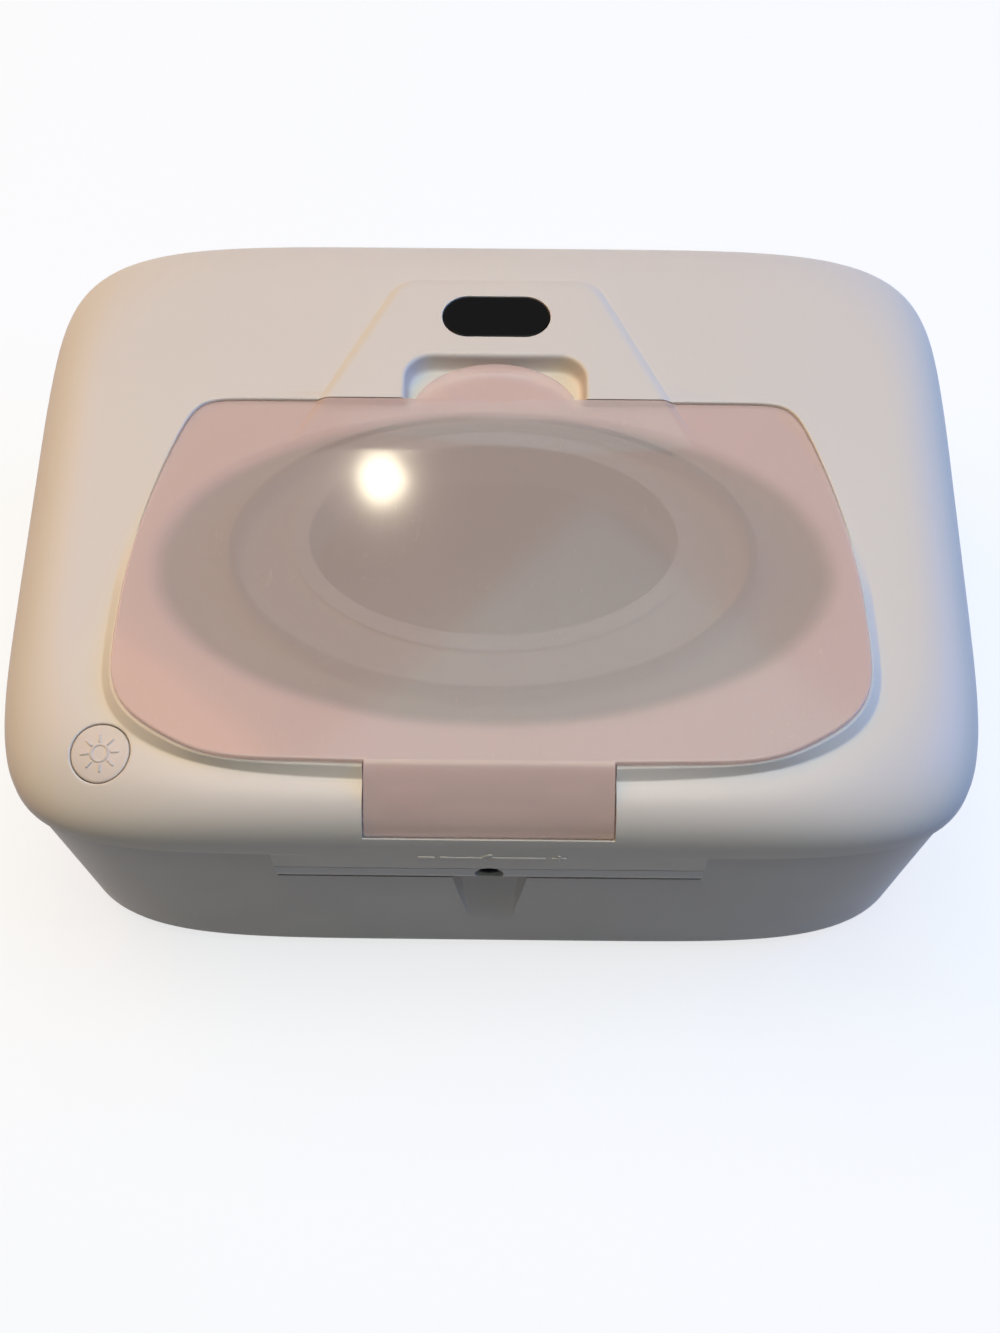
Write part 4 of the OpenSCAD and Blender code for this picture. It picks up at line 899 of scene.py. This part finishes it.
def wall_ring(share, inset=0.0):
    """Ring of the wall, from the turn of the foot at 0 to the rim at 1."""
    below = belt(LOW_IN + inset, TURN_POWER)
    above = belt(TOP_IN + 0.1 + inset)
    return level(eased(below, above, share), eased(FOOT_Z + FOOT_ROUND, BASE_TOP - 1.2, share))


cup = [foot_ring(angle) for angle in range(0, 91, 9)]
cup += [wall_ring(share) for share in (0.25, 0.5, 0.75, 1)]
RIM_EDGE = [(0.13, 0.7), (0.25, 0.3), (0.4, 0.1), (0.6, 0)]
cup += [level(belt(TOP_IN + more), BASE_TOP - down) for more, down in RIM_EDGE]
cup += [level(belt(TOP_IN + SHELL_WALL), BASE_TOP), wall_ring(0, SHELL_WALL)]
cup += [level(belt(LOW_IN + SHELL_WALL + more, LOW_POWER), FLOOR_Z + up)
        for more, up in ((1.9, 1.2), (6.2, 0))]
base = loft(cup)

BAY_CLEAR, BAY_WALL, BAY_REACH, EAR_W = 0.4, 1.8, 9.4, 8
BAY_HALF = housing_half(HINGE_Z) + BAY_CLEAR + EAR_W
TUB_DECK_LOW, TUB_DECK_TOP = SEAM_Z - 4, SEAM_Z - 2.2
bay_front = HINGE_Y + BAY_REACH
bay_low = HOUSING_LOW - BAY_CLEAR
bay_block = block(BAY_HALF, (REAR_Y + 2.6, bay_front + BAY_WALL),
                  (bay_low - BAY_WALL, TUB_DECK_LOW - 0.4))
GROOVE_TOP, GROOVE_FOOT, GROOVE_DEEP, GROOVE_LONG = 7.8, 5.6, 4.6, 31
backing_top = bay_low - BAY_WALL + 0.4
groove_back = block(GROOVE_TOP + 3, (REAR_Y + 4, REAR_Y + GROOVE_DEEP + 2.8),
                    (backing_top - GROOVE_LONG, backing_top))
LATCH_Y, LATCH_HALF, LATCH_LOW, LATCH_GAP = 16, 12.6, BASE_TOP - 11, 0.4
BRACKET_X, BRACKET_WALL, BRACKET_MORE = 103.6, 1.6, 2.4


def latch_span(more):
    """From before to behind the latch, and some more on both sides."""
    return LATCH_Y - LATCH_HALF - more, LATCH_Y + LATCH_HALF + more


def latch_bracket():
    walls = block((BRACKET_X, HALF_W - 2.5), latch_span(BRACKET_MORE + BRACKET_WALL),
                  (LATCH_LOW - LATCH_GAP - BRACKET_WALL, TUB_DECK_LOW - 0.3))
    return cut(walls, block((BRACKET_X + BRACKET_WALL, HALF_W + 5), latch_span(BRACKET_MORE),
                            (LATCH_LOW - LATCH_GAP, TUB_DECK_LOW + 1)))


posts = rods(paired((60, 81.5), (78, -79.5)), 3, FLOOR_Z - 1, TUB_DECK_LOW)
join(base, gather(bay_block, *both_sides(latch_bracket), *posts))
join(base, groove_back)
print("cup", BASE_TOP - FOOT_Z, "mm high, bay", round(2 * BAY_HALF, 1), "mm wide")

# %% [markdown]
# The groove starts wide under the inlet and runs out towards the foot. Its flanks slope,
# so that the moulding slide can leave it, and that slope is the bright edge in the photo.

# %% Openings of the base
GROOVE_SLOPE = 2.6


def groove_ring(half, deep_y, z):
    """One level of the groove, from its open side over the sloping flanks to its rounded floor."""
    mouth_y = REAR_Y - 1
    soft = min(0.8, (deep_y - mouth_y) * 0.4)
    right = [(half + GROOVE_SLOPE, mouth_y), (half + 0.15, deep_y - soft),
             (half - soft * 0.3, deep_y - soft * 0.25), (half - soft, deep_y)]
    return level(np.array(right + [(-x, y) for x, y in reversed(right)]), z)


groove_low, turn_z = bay_low - GROOVE_LONG, FOOT_Z + FOOT_ROUND
wall_low_y = REAR_Y + eased(LOW_IN, TOP_IN, (groove_low - turn_z) / (BASE_TOP - turn_z))
groove = loft([groove_ring(eased(GROOVE_FOOT, GROOVE_TOP, s),
                           eased(wall_low_y - 0.1, REAR_Y + TOP_IN + GROOVE_DEEP, s),
                           eased(groove_low, bay_low + 0.01, s)) for s in (0, 0.25, 0.5, 0.75, 1)])
bay = rear_prism(housing_line(bay_low, BASE_TOP, 5, BAY_CLEAR), REAR_Y - 5, bay_front)
windows = both_sides(block, (HALF_W - 8, HALF_W + 4), latch_span(LATCH_GAP),
                     (LATCH_LOW - LATCH_GAP, BASE_TOP + 1))
RIM_SWEEP = 9.25
sweep = [(HINGE_Y - RIM_SWEEP * c, HINGE_Z + RIM_SWEEP * s) for c, s in map(cos_sin, range(0, 91, 3))]
behind = sweep + [(HINGE_Y, BASE_TOP + 6), (REAR_Y - 6, BASE_TOP + 6), (REAR_Y - 6, HINGE_Z)]
rim_cuts = both_sides(side_prism, behind, HOUSING_HALF - 4, HALF_W + 5)
pin_line = circle(HINGE_Y, HINGE_Z, 1.51, 48)
pin_bores = both_sides(side_prism, pin_line, HOUSING_HALF - 3, BAY_HALF + 1)
BASE_SCREWS = four_places(70, 45, 4)
HEAD_R, HEAD_H, SCREW_R = 2.8, 1.5, 1.4
wells = rods(BASE_SCREWS, HEAD_R + 0.2, FOOT_Z - 1, FOOT_Z + 0.3 + HEAD_H)
wells += rods(four_places(92, 62), 4.1, FOOT_Z - 1, FOOT_Z + 0.8)
cut(base, gather(bay, *windows, *wells))
cut(base, gather(groove, *rim_cuts))
cut(base, gather(*pin_bores, *rods(BASE_SCREWS, SCREW_R + 0.2, FOOT_Z + 1, FLOOR_Z + 1)))
# the base gets the darker cream, which is painted shade below the lid
dress(base, "base", "base", "shell_white", SHELL_IN_PAINTED_SHADE, "base_shell")

# %% [markdown]
# ## Tub
# The tub is the only part that wet wipes touch, so every corner in it is rounded for
# wiping out. Its deck rests on posts, and its rim rolls over softly towards the hand.

# %% Tub for the wipes
TUB_FLOOR = 8.7
TUB_DECK_IN, TUB_CORNER = 4.1, 7.5


def tub_corner(angle):
    c, s = cos_sin(angle)
    return level(tub_line(-3.5 - TUB_CORNER * (1 - c)), TUB_FLOOR + 6.3 * (1 - s))


OUTER = [(-9.2, 6.5), (-5.5, 7.2), (-3.7, TUB_FLOOR), (-1.7, 15), (1, TUB_DECK_LOW)]
DECK_EDGE = [(TUB_DECK_IN, TUB_DECK_LOW), (TUB_DECK_IN, TUB_DECK_TOP - 0.3),
             (TUB_DECK_IN + 0.3, TUB_DECK_TOP)]
LIP = [(1.2, 0), (0.75, -0.06), (0.35, -0.22), (0.02, -0.48), (-0.25, -0.85), (-0.48, -1.35), (-0.7, -2)]
tub = loft(stack(tub_line, OUTER) + stack(belt, DECK_EDGE) + stack(tub_line, LIP, TUB_DECK_TOP)
           + [tub_corner(angle) for angle in range(0, 91, 10)])
join(tub, gather(*rods(BASE_SCREWS, 4, FLOOR_Z, 7.2)))
notch_x = housing_half(SEAM_Z) + EAR_W + 2
through_deck = (TUB_DECK_LOW - 1, TUB_DECK_TOP + 1)
hinge_room = block(notch_x, (REAR_Y - 1, bay_front + BAY_WALL + 0.4), through_deck)
latch_rooms = both_sides(block, (109.6, HALF_W), latch_span(1), through_deck)
holes = rods(BASE_SCREWS, SCREW_R + 0.05, FLOOR_Z - 1, TUB_FLOOR - 0.7)
cut(tub, gather(hinge_room, *latch_rooms, *holes))
dress(tub, "tub", "base", "tub_white", "white_tub", "wipe_tub")

# %% [markdown]
# ## Flip lid
# The flip lid is a thin smoky plate. At the front it carries a finger tab and the fading
# end of the console, and at the rear a strip that drops over the edge down to its hinge.

# %% Plate, tab and wedge of the flip lid
PLATE_RIM = [(-0.35, 0), (-0.1, 0.1), (0, 0.35), (0, 1.2), (-0.04, 1.4), (-0.14, 1.56), (-0.32, 1.66),
             (-0.6, 1.7)]
flip = loft(stack(flip_line, PLATE_RIM, FLIP_LOW))
TAB_HALF, TAB_REACH = 22.2, 13


def tab_line(grow):
    t = np.linspace(0, np.pi, 64)
    y = FLIP_FRONT_Y - 6 + (TAB_REACH + 6 + grow) * np.sin(t) ** 0.9
    line = np.column_stack([(TAB_HALF + grow) * np.cos(t), y])
    return np.vstack([line, [(-TAB_HALF - grow, FLIP_FRONT_Y - 8), (TAB_HALF + grow, FLIP_FRONT_Y - 8)]])


tab = loft([level(tab_line(grow), FLIP_LOW + 0.02 + up * 0.97) for grow, up in PLATE_RIM])
cut(tab, block(30, (FLIP_FRONT_Y - 20, FLIP_FRONT_Y - 1), (FLIP_LOW - 1, FLIP_TOP + 1)))
DIP_Y, DIP_A, DIP_B = FLIP_FRONT_Y + 4.8, 14.5, 5.2
DIP = [(1.1, 2), (1.05, 0), (1, -0.03), (0.93, -0.1), (0.82, -0.2), (0.65, -0.29), (0.4, -0.34)]
dip = loft([level(ellipse(0, DIP_Y, DIP_A * s, DIP_B * s, 72), FLIP_TOP + up) for s, up in DIP])
FADE = 17


def wedge_slice(y):
    """Upright slice of the console's end, which sinks into the plate as it runs to the rear."""
    share = (FLIP_FRONT_Y - y) / FADE
    height = (CONSOLE_TOP - FLIP_TOP) * (1 - share) ** 2 * (1 + 1.1 * share)
    half = CONSOLE_NEAR[0] + 2.7 + 0.527 * (FLIP_FRONT_Y - y)
    scale = height / 1.1
    right = [(half + grow, FLIP_TOP + max(up, -0.3) * scale if up > -1 else FLIP_TOP - 0.4)
             for grow, up in SHOULDER]
    return np.array([(x, y, z) for x, z in right + [(-x, z) for x, z in reversed(right)]])


wedge_y = np.linspace(FLIP_FRONT_Y - 0.02, FLIP_FRONT_Y - FADE * 0.98, 22)
wedge = loft([wedge_slice(y) for y in wedge_y])
print("flip lid", round(2 * high("flip_lid").x, 1), "mm wide, tab", TAB_REACH, "mm long")

# %% [markdown]
# The strip is drawn once in side view and pulled across. It leaves the plate in one soft
# bend, then follows the rounded rear edge of the lid at the same radius, which keeps the
# silhouette unbroken. Two knuckles under it hold the pin.

# %% Strip and knuckles
STRIP_HALF, STRIP_THICK, STRIP_END = 29.25, 1.5, 25
TURN_Y = REAR_Y + 0.1 + EDGE_IN - EDGE_PULL


def edge_point(angle, grow):
    c, s = cos_sin(angle)
    return TURN_Y - (EDGE_IN - EDGE_PULL + grow) * c, TOP_REAR - EDGE_DOWN + (EDGE_DOWN + grow) * s


STRIP_TOP, BEND_AT = np.array([-75.3, FLIP_TOP - 0.03]), 42
BEND_LOW = np.array(edge_point(BEND_AT, 0))
UP_ALONG = np.array([EDGE_IN - EDGE_PULL, EDGE_DOWN]) * cos_sin(BEND_AT)[::-1]
UP_ALONG /= np.linalg.norm(UP_ALONG)
HANDLES = [BEND_LOW, BEND_LOW + 3.6 * UP_ALONG, STRIP_TOP - (2.6, 0.05), STRIP_TOP]
steps = np.linspace(0, 1, 19)[:, None]
bend = sum(k * (1 - steps) ** (3 - i) * steps ** i * HANDLES[i] for i, k in enumerate((1, 3, 3, 1)))
slope = np.gradient(bend, axis=0)
slope /= np.linalg.norm(slope, axis=1)[:, None]
bend_under = bend + STRIP_THICK * np.column_stack([slope[:, 1], -slope[:, 0]])
strip_line = [edge_point(a, 0) for a in range(STRIP_END, BEND_AT, 3)] + list(bend)
strip_line += [(-73, FLIP_TOP - 0.4), (-73, FLIP_LOW + 0.3)] + list(bend_under[::-1])
strip_line += [edge_point(a, -STRIP_THICK) for a in range(BEND_AT - 3, STRIP_END, -3)]
strip_line += [edge_point(STRIP_END, -STRIP_THICK)]
strip = soften(side_prism(strip_line, -STRIP_HALF, STRIP_HALF), 0.18, 60)
knuckles = both_sides(side_prism, circle(PIN_Y, PIN_Z, 2.9, 64), 13, 25)
leaves = both_sides(block, (13, 25), (PIN_Y - 0.9, PIN_Y + 0.9), (PIN_Z, PIN_Z + 4.1))
join(flip, tab)
join(flip, wedge)
join(flip, strip)
join(flip, gather(*knuckles))
join(flip, gather(*leaves))
cut(flip, dip)
cut(flip, side_prism(circle(PIN_Y, PIN_Z, 1.3, 40), -27, 27))
dress(flip, "flip", "flip_lid", "flip_translucent", "smoky_flip_lid", "flip_lid", crease=40)

# %% [markdown]
# ## Light button
# The cap follows the skin of the lid, a tenth of a millimetre lower, so its top is cast
# point by point onto the skin's own surface. The sun on it is raised by a third of a
# millimetre, as a sign that fingers can read in the dark. The stem stays just clear of the
# switch's case when the button is pressed.

# %% Cap of the light button with a raised sun
CAP_LOW, CAP_RIM_LOW, STEM_LOW, CAP_SINK = -2.4, -3.8, -3.5, 0.12
SUN_RISE, SUN_TURN, RAY_HALF = 0.36, 2, 0.36
inner_rows = [(2, STEM_LOW), (2, CAP_LOW), (6, CAP_LOW), (6, CAP_RIM_LOW), (BUTTON_R, CAP_RIM_LOW),
              (BUTTON_R, CAP_LOW)]
edge_rows = [(0, 0.42), (0.04, 0.22), (0.13, 0.09), (0.3, 0.015), (0.55, 0)]
cap_rings = stack(button_line, inner_rows)
cap_rings += [skin_ring(BUTTON_R - back, -CAP_SINK - down) for back, down in edge_rows]
cap_rings += [skin_ring(r, -CAP_SINK) for r in (6.2, 5.6, 5, 4.4, 3.8, 3.2, 2.6, 2, 1.4, 0.8, 0.3)]
button = loft(cap_rings)
RIDGE = [(-1.6, -0.12), (-1, 0), (-0.75, 0.45), (-0.4, 0.85), (0, 1), (0.4, 0.85), (0.75, 0.45), (1, 0),
         (1.6, -0.12)]


def raised_ring(radius, half_wide, rise):
    """Soft ridge along a circle, seated on the cap."""
    rings = [skin_ring(radius + out * half_wide, -CAP_SINK + up * rise - 0.03) for out, up in RIDGE]
    return loft(rings + [skin_ring(radius, -CAP_SINK - 0.25)], closed=True)


def ray(angle):
    """Soft ridge that points away from the ring, with round ends."""
    c, s = cos_sin(angle)
    along, aside = np.array([c, s]), np.array([-s, c])
    rings = []
    for share, up in ((1.35, -0.3), (1, 0), (0.85, 0.4), (0.6, 0.75), (0.3, 0.95), (0.08, 1)):
        half = RAY_HALF * share
        places = [(3.65 + math.copysign(0.78, math.cos(t)) + half * math.cos(t)) * along
                  + half * math.sin(t) * aside
                  for t in np.linspace(0.01, 2 * math.pi + 0.01, 20, endpoint=False)]
        rings.append([(x, y, lid_height(x, y) - CAP_SINK + up * SUN_RISE - 0.01) for x, y in places])
    return loft(rings)


sun = gather(raised_ring(2.05, 0.42, SUN_RISE), *[ray(SUN_TURN + 45 * i) for i in range(8)])
join(button, sun)
at_button(button)
dress(button, "button", "light_button", "button_white", "cream_button", "light_button", crease=40)

# %% [markdown]
# ## Display window
# The window is a clear pill, painted black from behind, with a flange that holds it from
# the inside. Its top edge is broken by a small radius that catches the light at the ends.

# %% Display window
FLANGE_Z = low("display_lens").z
window_rings = [(2, FLANGE_Z), (2, FLANGE_Z + 1), (0, FLANGE_Z + 1)]
window_rings += [(-back, CONSOLE_TOP - down) for back, down in
                 ((0, 0.5), (0.03, 0.32), (0.12, 0.18), (0.28, 0.11), (0.5, 0.1))]
window = pill(0, window_rings)
dress(window, "window", "lid", "lens_black", "polished_black_window", "display_lens")

# %% [markdown]
# ## Latches and hooks
# The two side pads are pressed to free the lid. Their faces are shallow cylinders, and
# every edge that a thumb can meet is rounded.

# %% Side latches
LATCH_BACK, LATCH_FACE, LATCH_TOP = 114.2, high("latch_right").x, LATCH_LOW + 11
pad_arc = np.radians(np.linspace(8.06, -8.06, 25))
pad_line = [(LATCH_FACE - 90 + 90 * math.cos(t), LATCH_Y + 90 * math.sin(t)) for t in pad_arc]
pad_line += [(LATCH_BACK, LATCH_Y - LATCH_HALF), (LATCH_BACK, LATCH_Y + LATCH_HALF)]


def latch_pad():
    pad = soften(prism(pad_line, LATCH_LOW, LATCH_TOP), 0.45, 50, 3)
    flange = block((LATCH_BACK, LATCH_BACK + 1.6), latch_span(1.6), (LATCH_LOW + 1, TUB_DECK_LOW - 1))
    peg = side_prism(circle(LATCH_Y, LATCH_LOW + 4.5, 1.3, 32), LATCH_BACK - 2.5, LATCH_BACK + 0.1)
    join(pad, flange)
    join(pad, peg)
    return cut(pad, block((LATCH_BACK - 1, LATCH_BACK + 2.05), (LATCH_Y - 5.05, LATCH_Y + 5.05),
                          (LATCH_LOW + 6.5, LATCH_TOP + 1)))


for name, pad in zip(("latch_right", "latch_left"), both_sides(latch_pad)):
    dress(pad, name + "_pad", name, "shell_white", SHELL_IN_PAINTED_SHADE, name)

# %% [markdown]
# ## Screws
# Every screw head has a cross recess. The heads show from below and when the lid is open.

# %% Screws with a cross recess
def screw(x, y, head_z, head_r, head_h, shank_r, tip_z):
    """Screw whose head is below: a slightly domed head, a shank and a cross recess."""
    rings = [(share * head_r, head_z + up) for share, up in
             ((0.4, 0), (0.75, 0.06), (0.93, 0.2), (1, 0.45), (1, head_h))]
    rings += [(shank_r, head_z + head_h), (shank_r, tip_z - 0.4), (shank_r * 0.7, tip_z)]
    body = loft(stack(lambda r: circle(x, y, r, 40), rings))
    arm, wide, deep = 0.62 * head_r, 0.16 * head_r, min(0.9, head_h * 0.6)
    cross_line = [(x + c * u - s * v, y + s * u + c * v) for c, s in ((1, 0), (0, 1), (-1, 0), (0, -1))
                  for u, v in ((arm, wide), (wide, wide), (wide, arm))]
    return cut(body, prism(cross_line, head_z - 1, head_z + deep))


sets = [("base_screws", "base", BASE_SCREWS, FOOT_Z + 0.3, HEAD_R, HEAD_H, SCREW_R),
        ("lid_screws", "lid", LID_SCREWS, SEAM_Z + 0.2, HEAD_R, HEAD_H, SCREW_R),
        ("heater_screws", "lid", four_places(75, 48, 4), low("heater_screws").z, 2.4, 1.1, 1.25)]
for name, body, places, *sizes in sets:
    group = gather(*[screw(x, y, *sizes, high(name).z) for x, y in places])
    dress(group, name + "_cut", body, "screw_steel", "zinc_plated_steel", name)

# %% [markdown]
# ## Small raised signs
# The polarity sign over the inlet is a thin raised line with a minus, an arc and a plus.
# It is part of the moulded shell, so it has the shell's finish.

# %% Polarity sign on the rear
SIGN_Z, SIGN_WIDE, SIGN_UP = 70.7, 0.4, 0.34
STROKE = [(-1, -1), (-1, 0.1), (-0.7, 0.7), (0, 1), (0.7, 0.7), (1, 0.1), (1, -1)]


def rear_wall_y(x, z):
    """Where the rear of the lid is, at a place and height."""
    hit, _, _, _ = surface.ray_cast(Vector((x, REAR_Y - 20, z)), Vector((0, 1, 0)))
    return REAR_Y if hit is None or abs(x) < HOUSING_HALF else hit.y


def stroke(points):
    """Raised line with a soft section that follows the rear wall."""
    points = np.array(points, float)
    rings = []
    for i, (x, z) in enumerate(points):
        ahead = points[min(i + 1, len(points) - 1)] - points[max(i - 1, 0)]
        ahead /= np.linalg.norm(ahead)
        side = np.array([-ahead[1], ahead[0]])
        dx, dz = side * SIGN_WIDE
        rings.append([(x + dx * c, rear_wall_y(x, z) - SIGN_UP * up, z + dz * c) for c, up in STROKE])
    return loft(rings)


def straight(x0, x1):
    return stroke([(x, SIGN_Z) for x in np.linspace(x0, x1, 12)])


SIGN_R = 1.5
arc = [(0.2 + SIGN_R * c, SIGN_Z + SIGN_R * s) for c, s in map(cos_sin, np.linspace(70, 290, 20))]
plus = [(16.7, z) for z in np.linspace(SIGN_Z - SIGN_R, SIGN_Z + SIGN_R, 8)]
sign = gather(straight(-16.8, -13), straight(-11.6, -1.4), straight(0.4, 13.4), stroke(arc),
              straight(15, 18.4), stroke(plus))
dress(sign, "polarity_sign", "lid", "shell_white", SHELL)

# %% [markdown]
# ## Finishes of the other pieces
# The pieces that keep their construction shape only need a finish. Each is listed once,
# under the finish that its real counterpart has.

# %% Finishes for the pieces that stay as they are
AS_BUILT = {
    "white_moulded_inside": ["lid_inner_shell"],
    "white_tub": ["mouth_ring", "latch_hook_left", "latch_hook_right"],
    "soft_pale_seal": ["mouth_seal", "flip_seal", "tub_gasket"],
    "dark_rubber_foot": ["rubber_feet"],
    "zinc_plated_steel": ["lid_hinge_pins", "board_screws", "switch_screws", "latch_spring_left",
                          "latch_spring_right"],
    "dull_zinc_pin": ["flip_hinge_pin"],
    "rolled_aluminium": ["heater_plate"],
    "amber_heater_film": ["heater_film"],
    "grey_felt": ["heater_insulator"],
    "tinned_fuse": ["thermal_fuse"],
    "black_component": ["temperature_sensor", "display_module", "dc_jack", "tact_switch"],
    "green_board": ["control_board", "switch_board"],
    "yellow_led": ["indicator_leds"],
    "black_lead": ["inlet_lead"],
    "red_wire": ["heater_wires"],
    "white_wire": ["switch_wires"],
    "red_plunger": ["switch_plunger"],
}
for finish, names in AS_BUILT.items():
    for name in names:
        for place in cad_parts[name].material_slots:
            place.material = bpy.data.materials[finish]
print("dressed as built:", sum(map(len, AS_BUILT.values())), "pieces of", len(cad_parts))

# %% Bring the scene up to date
bpy.context.view_layer.update()
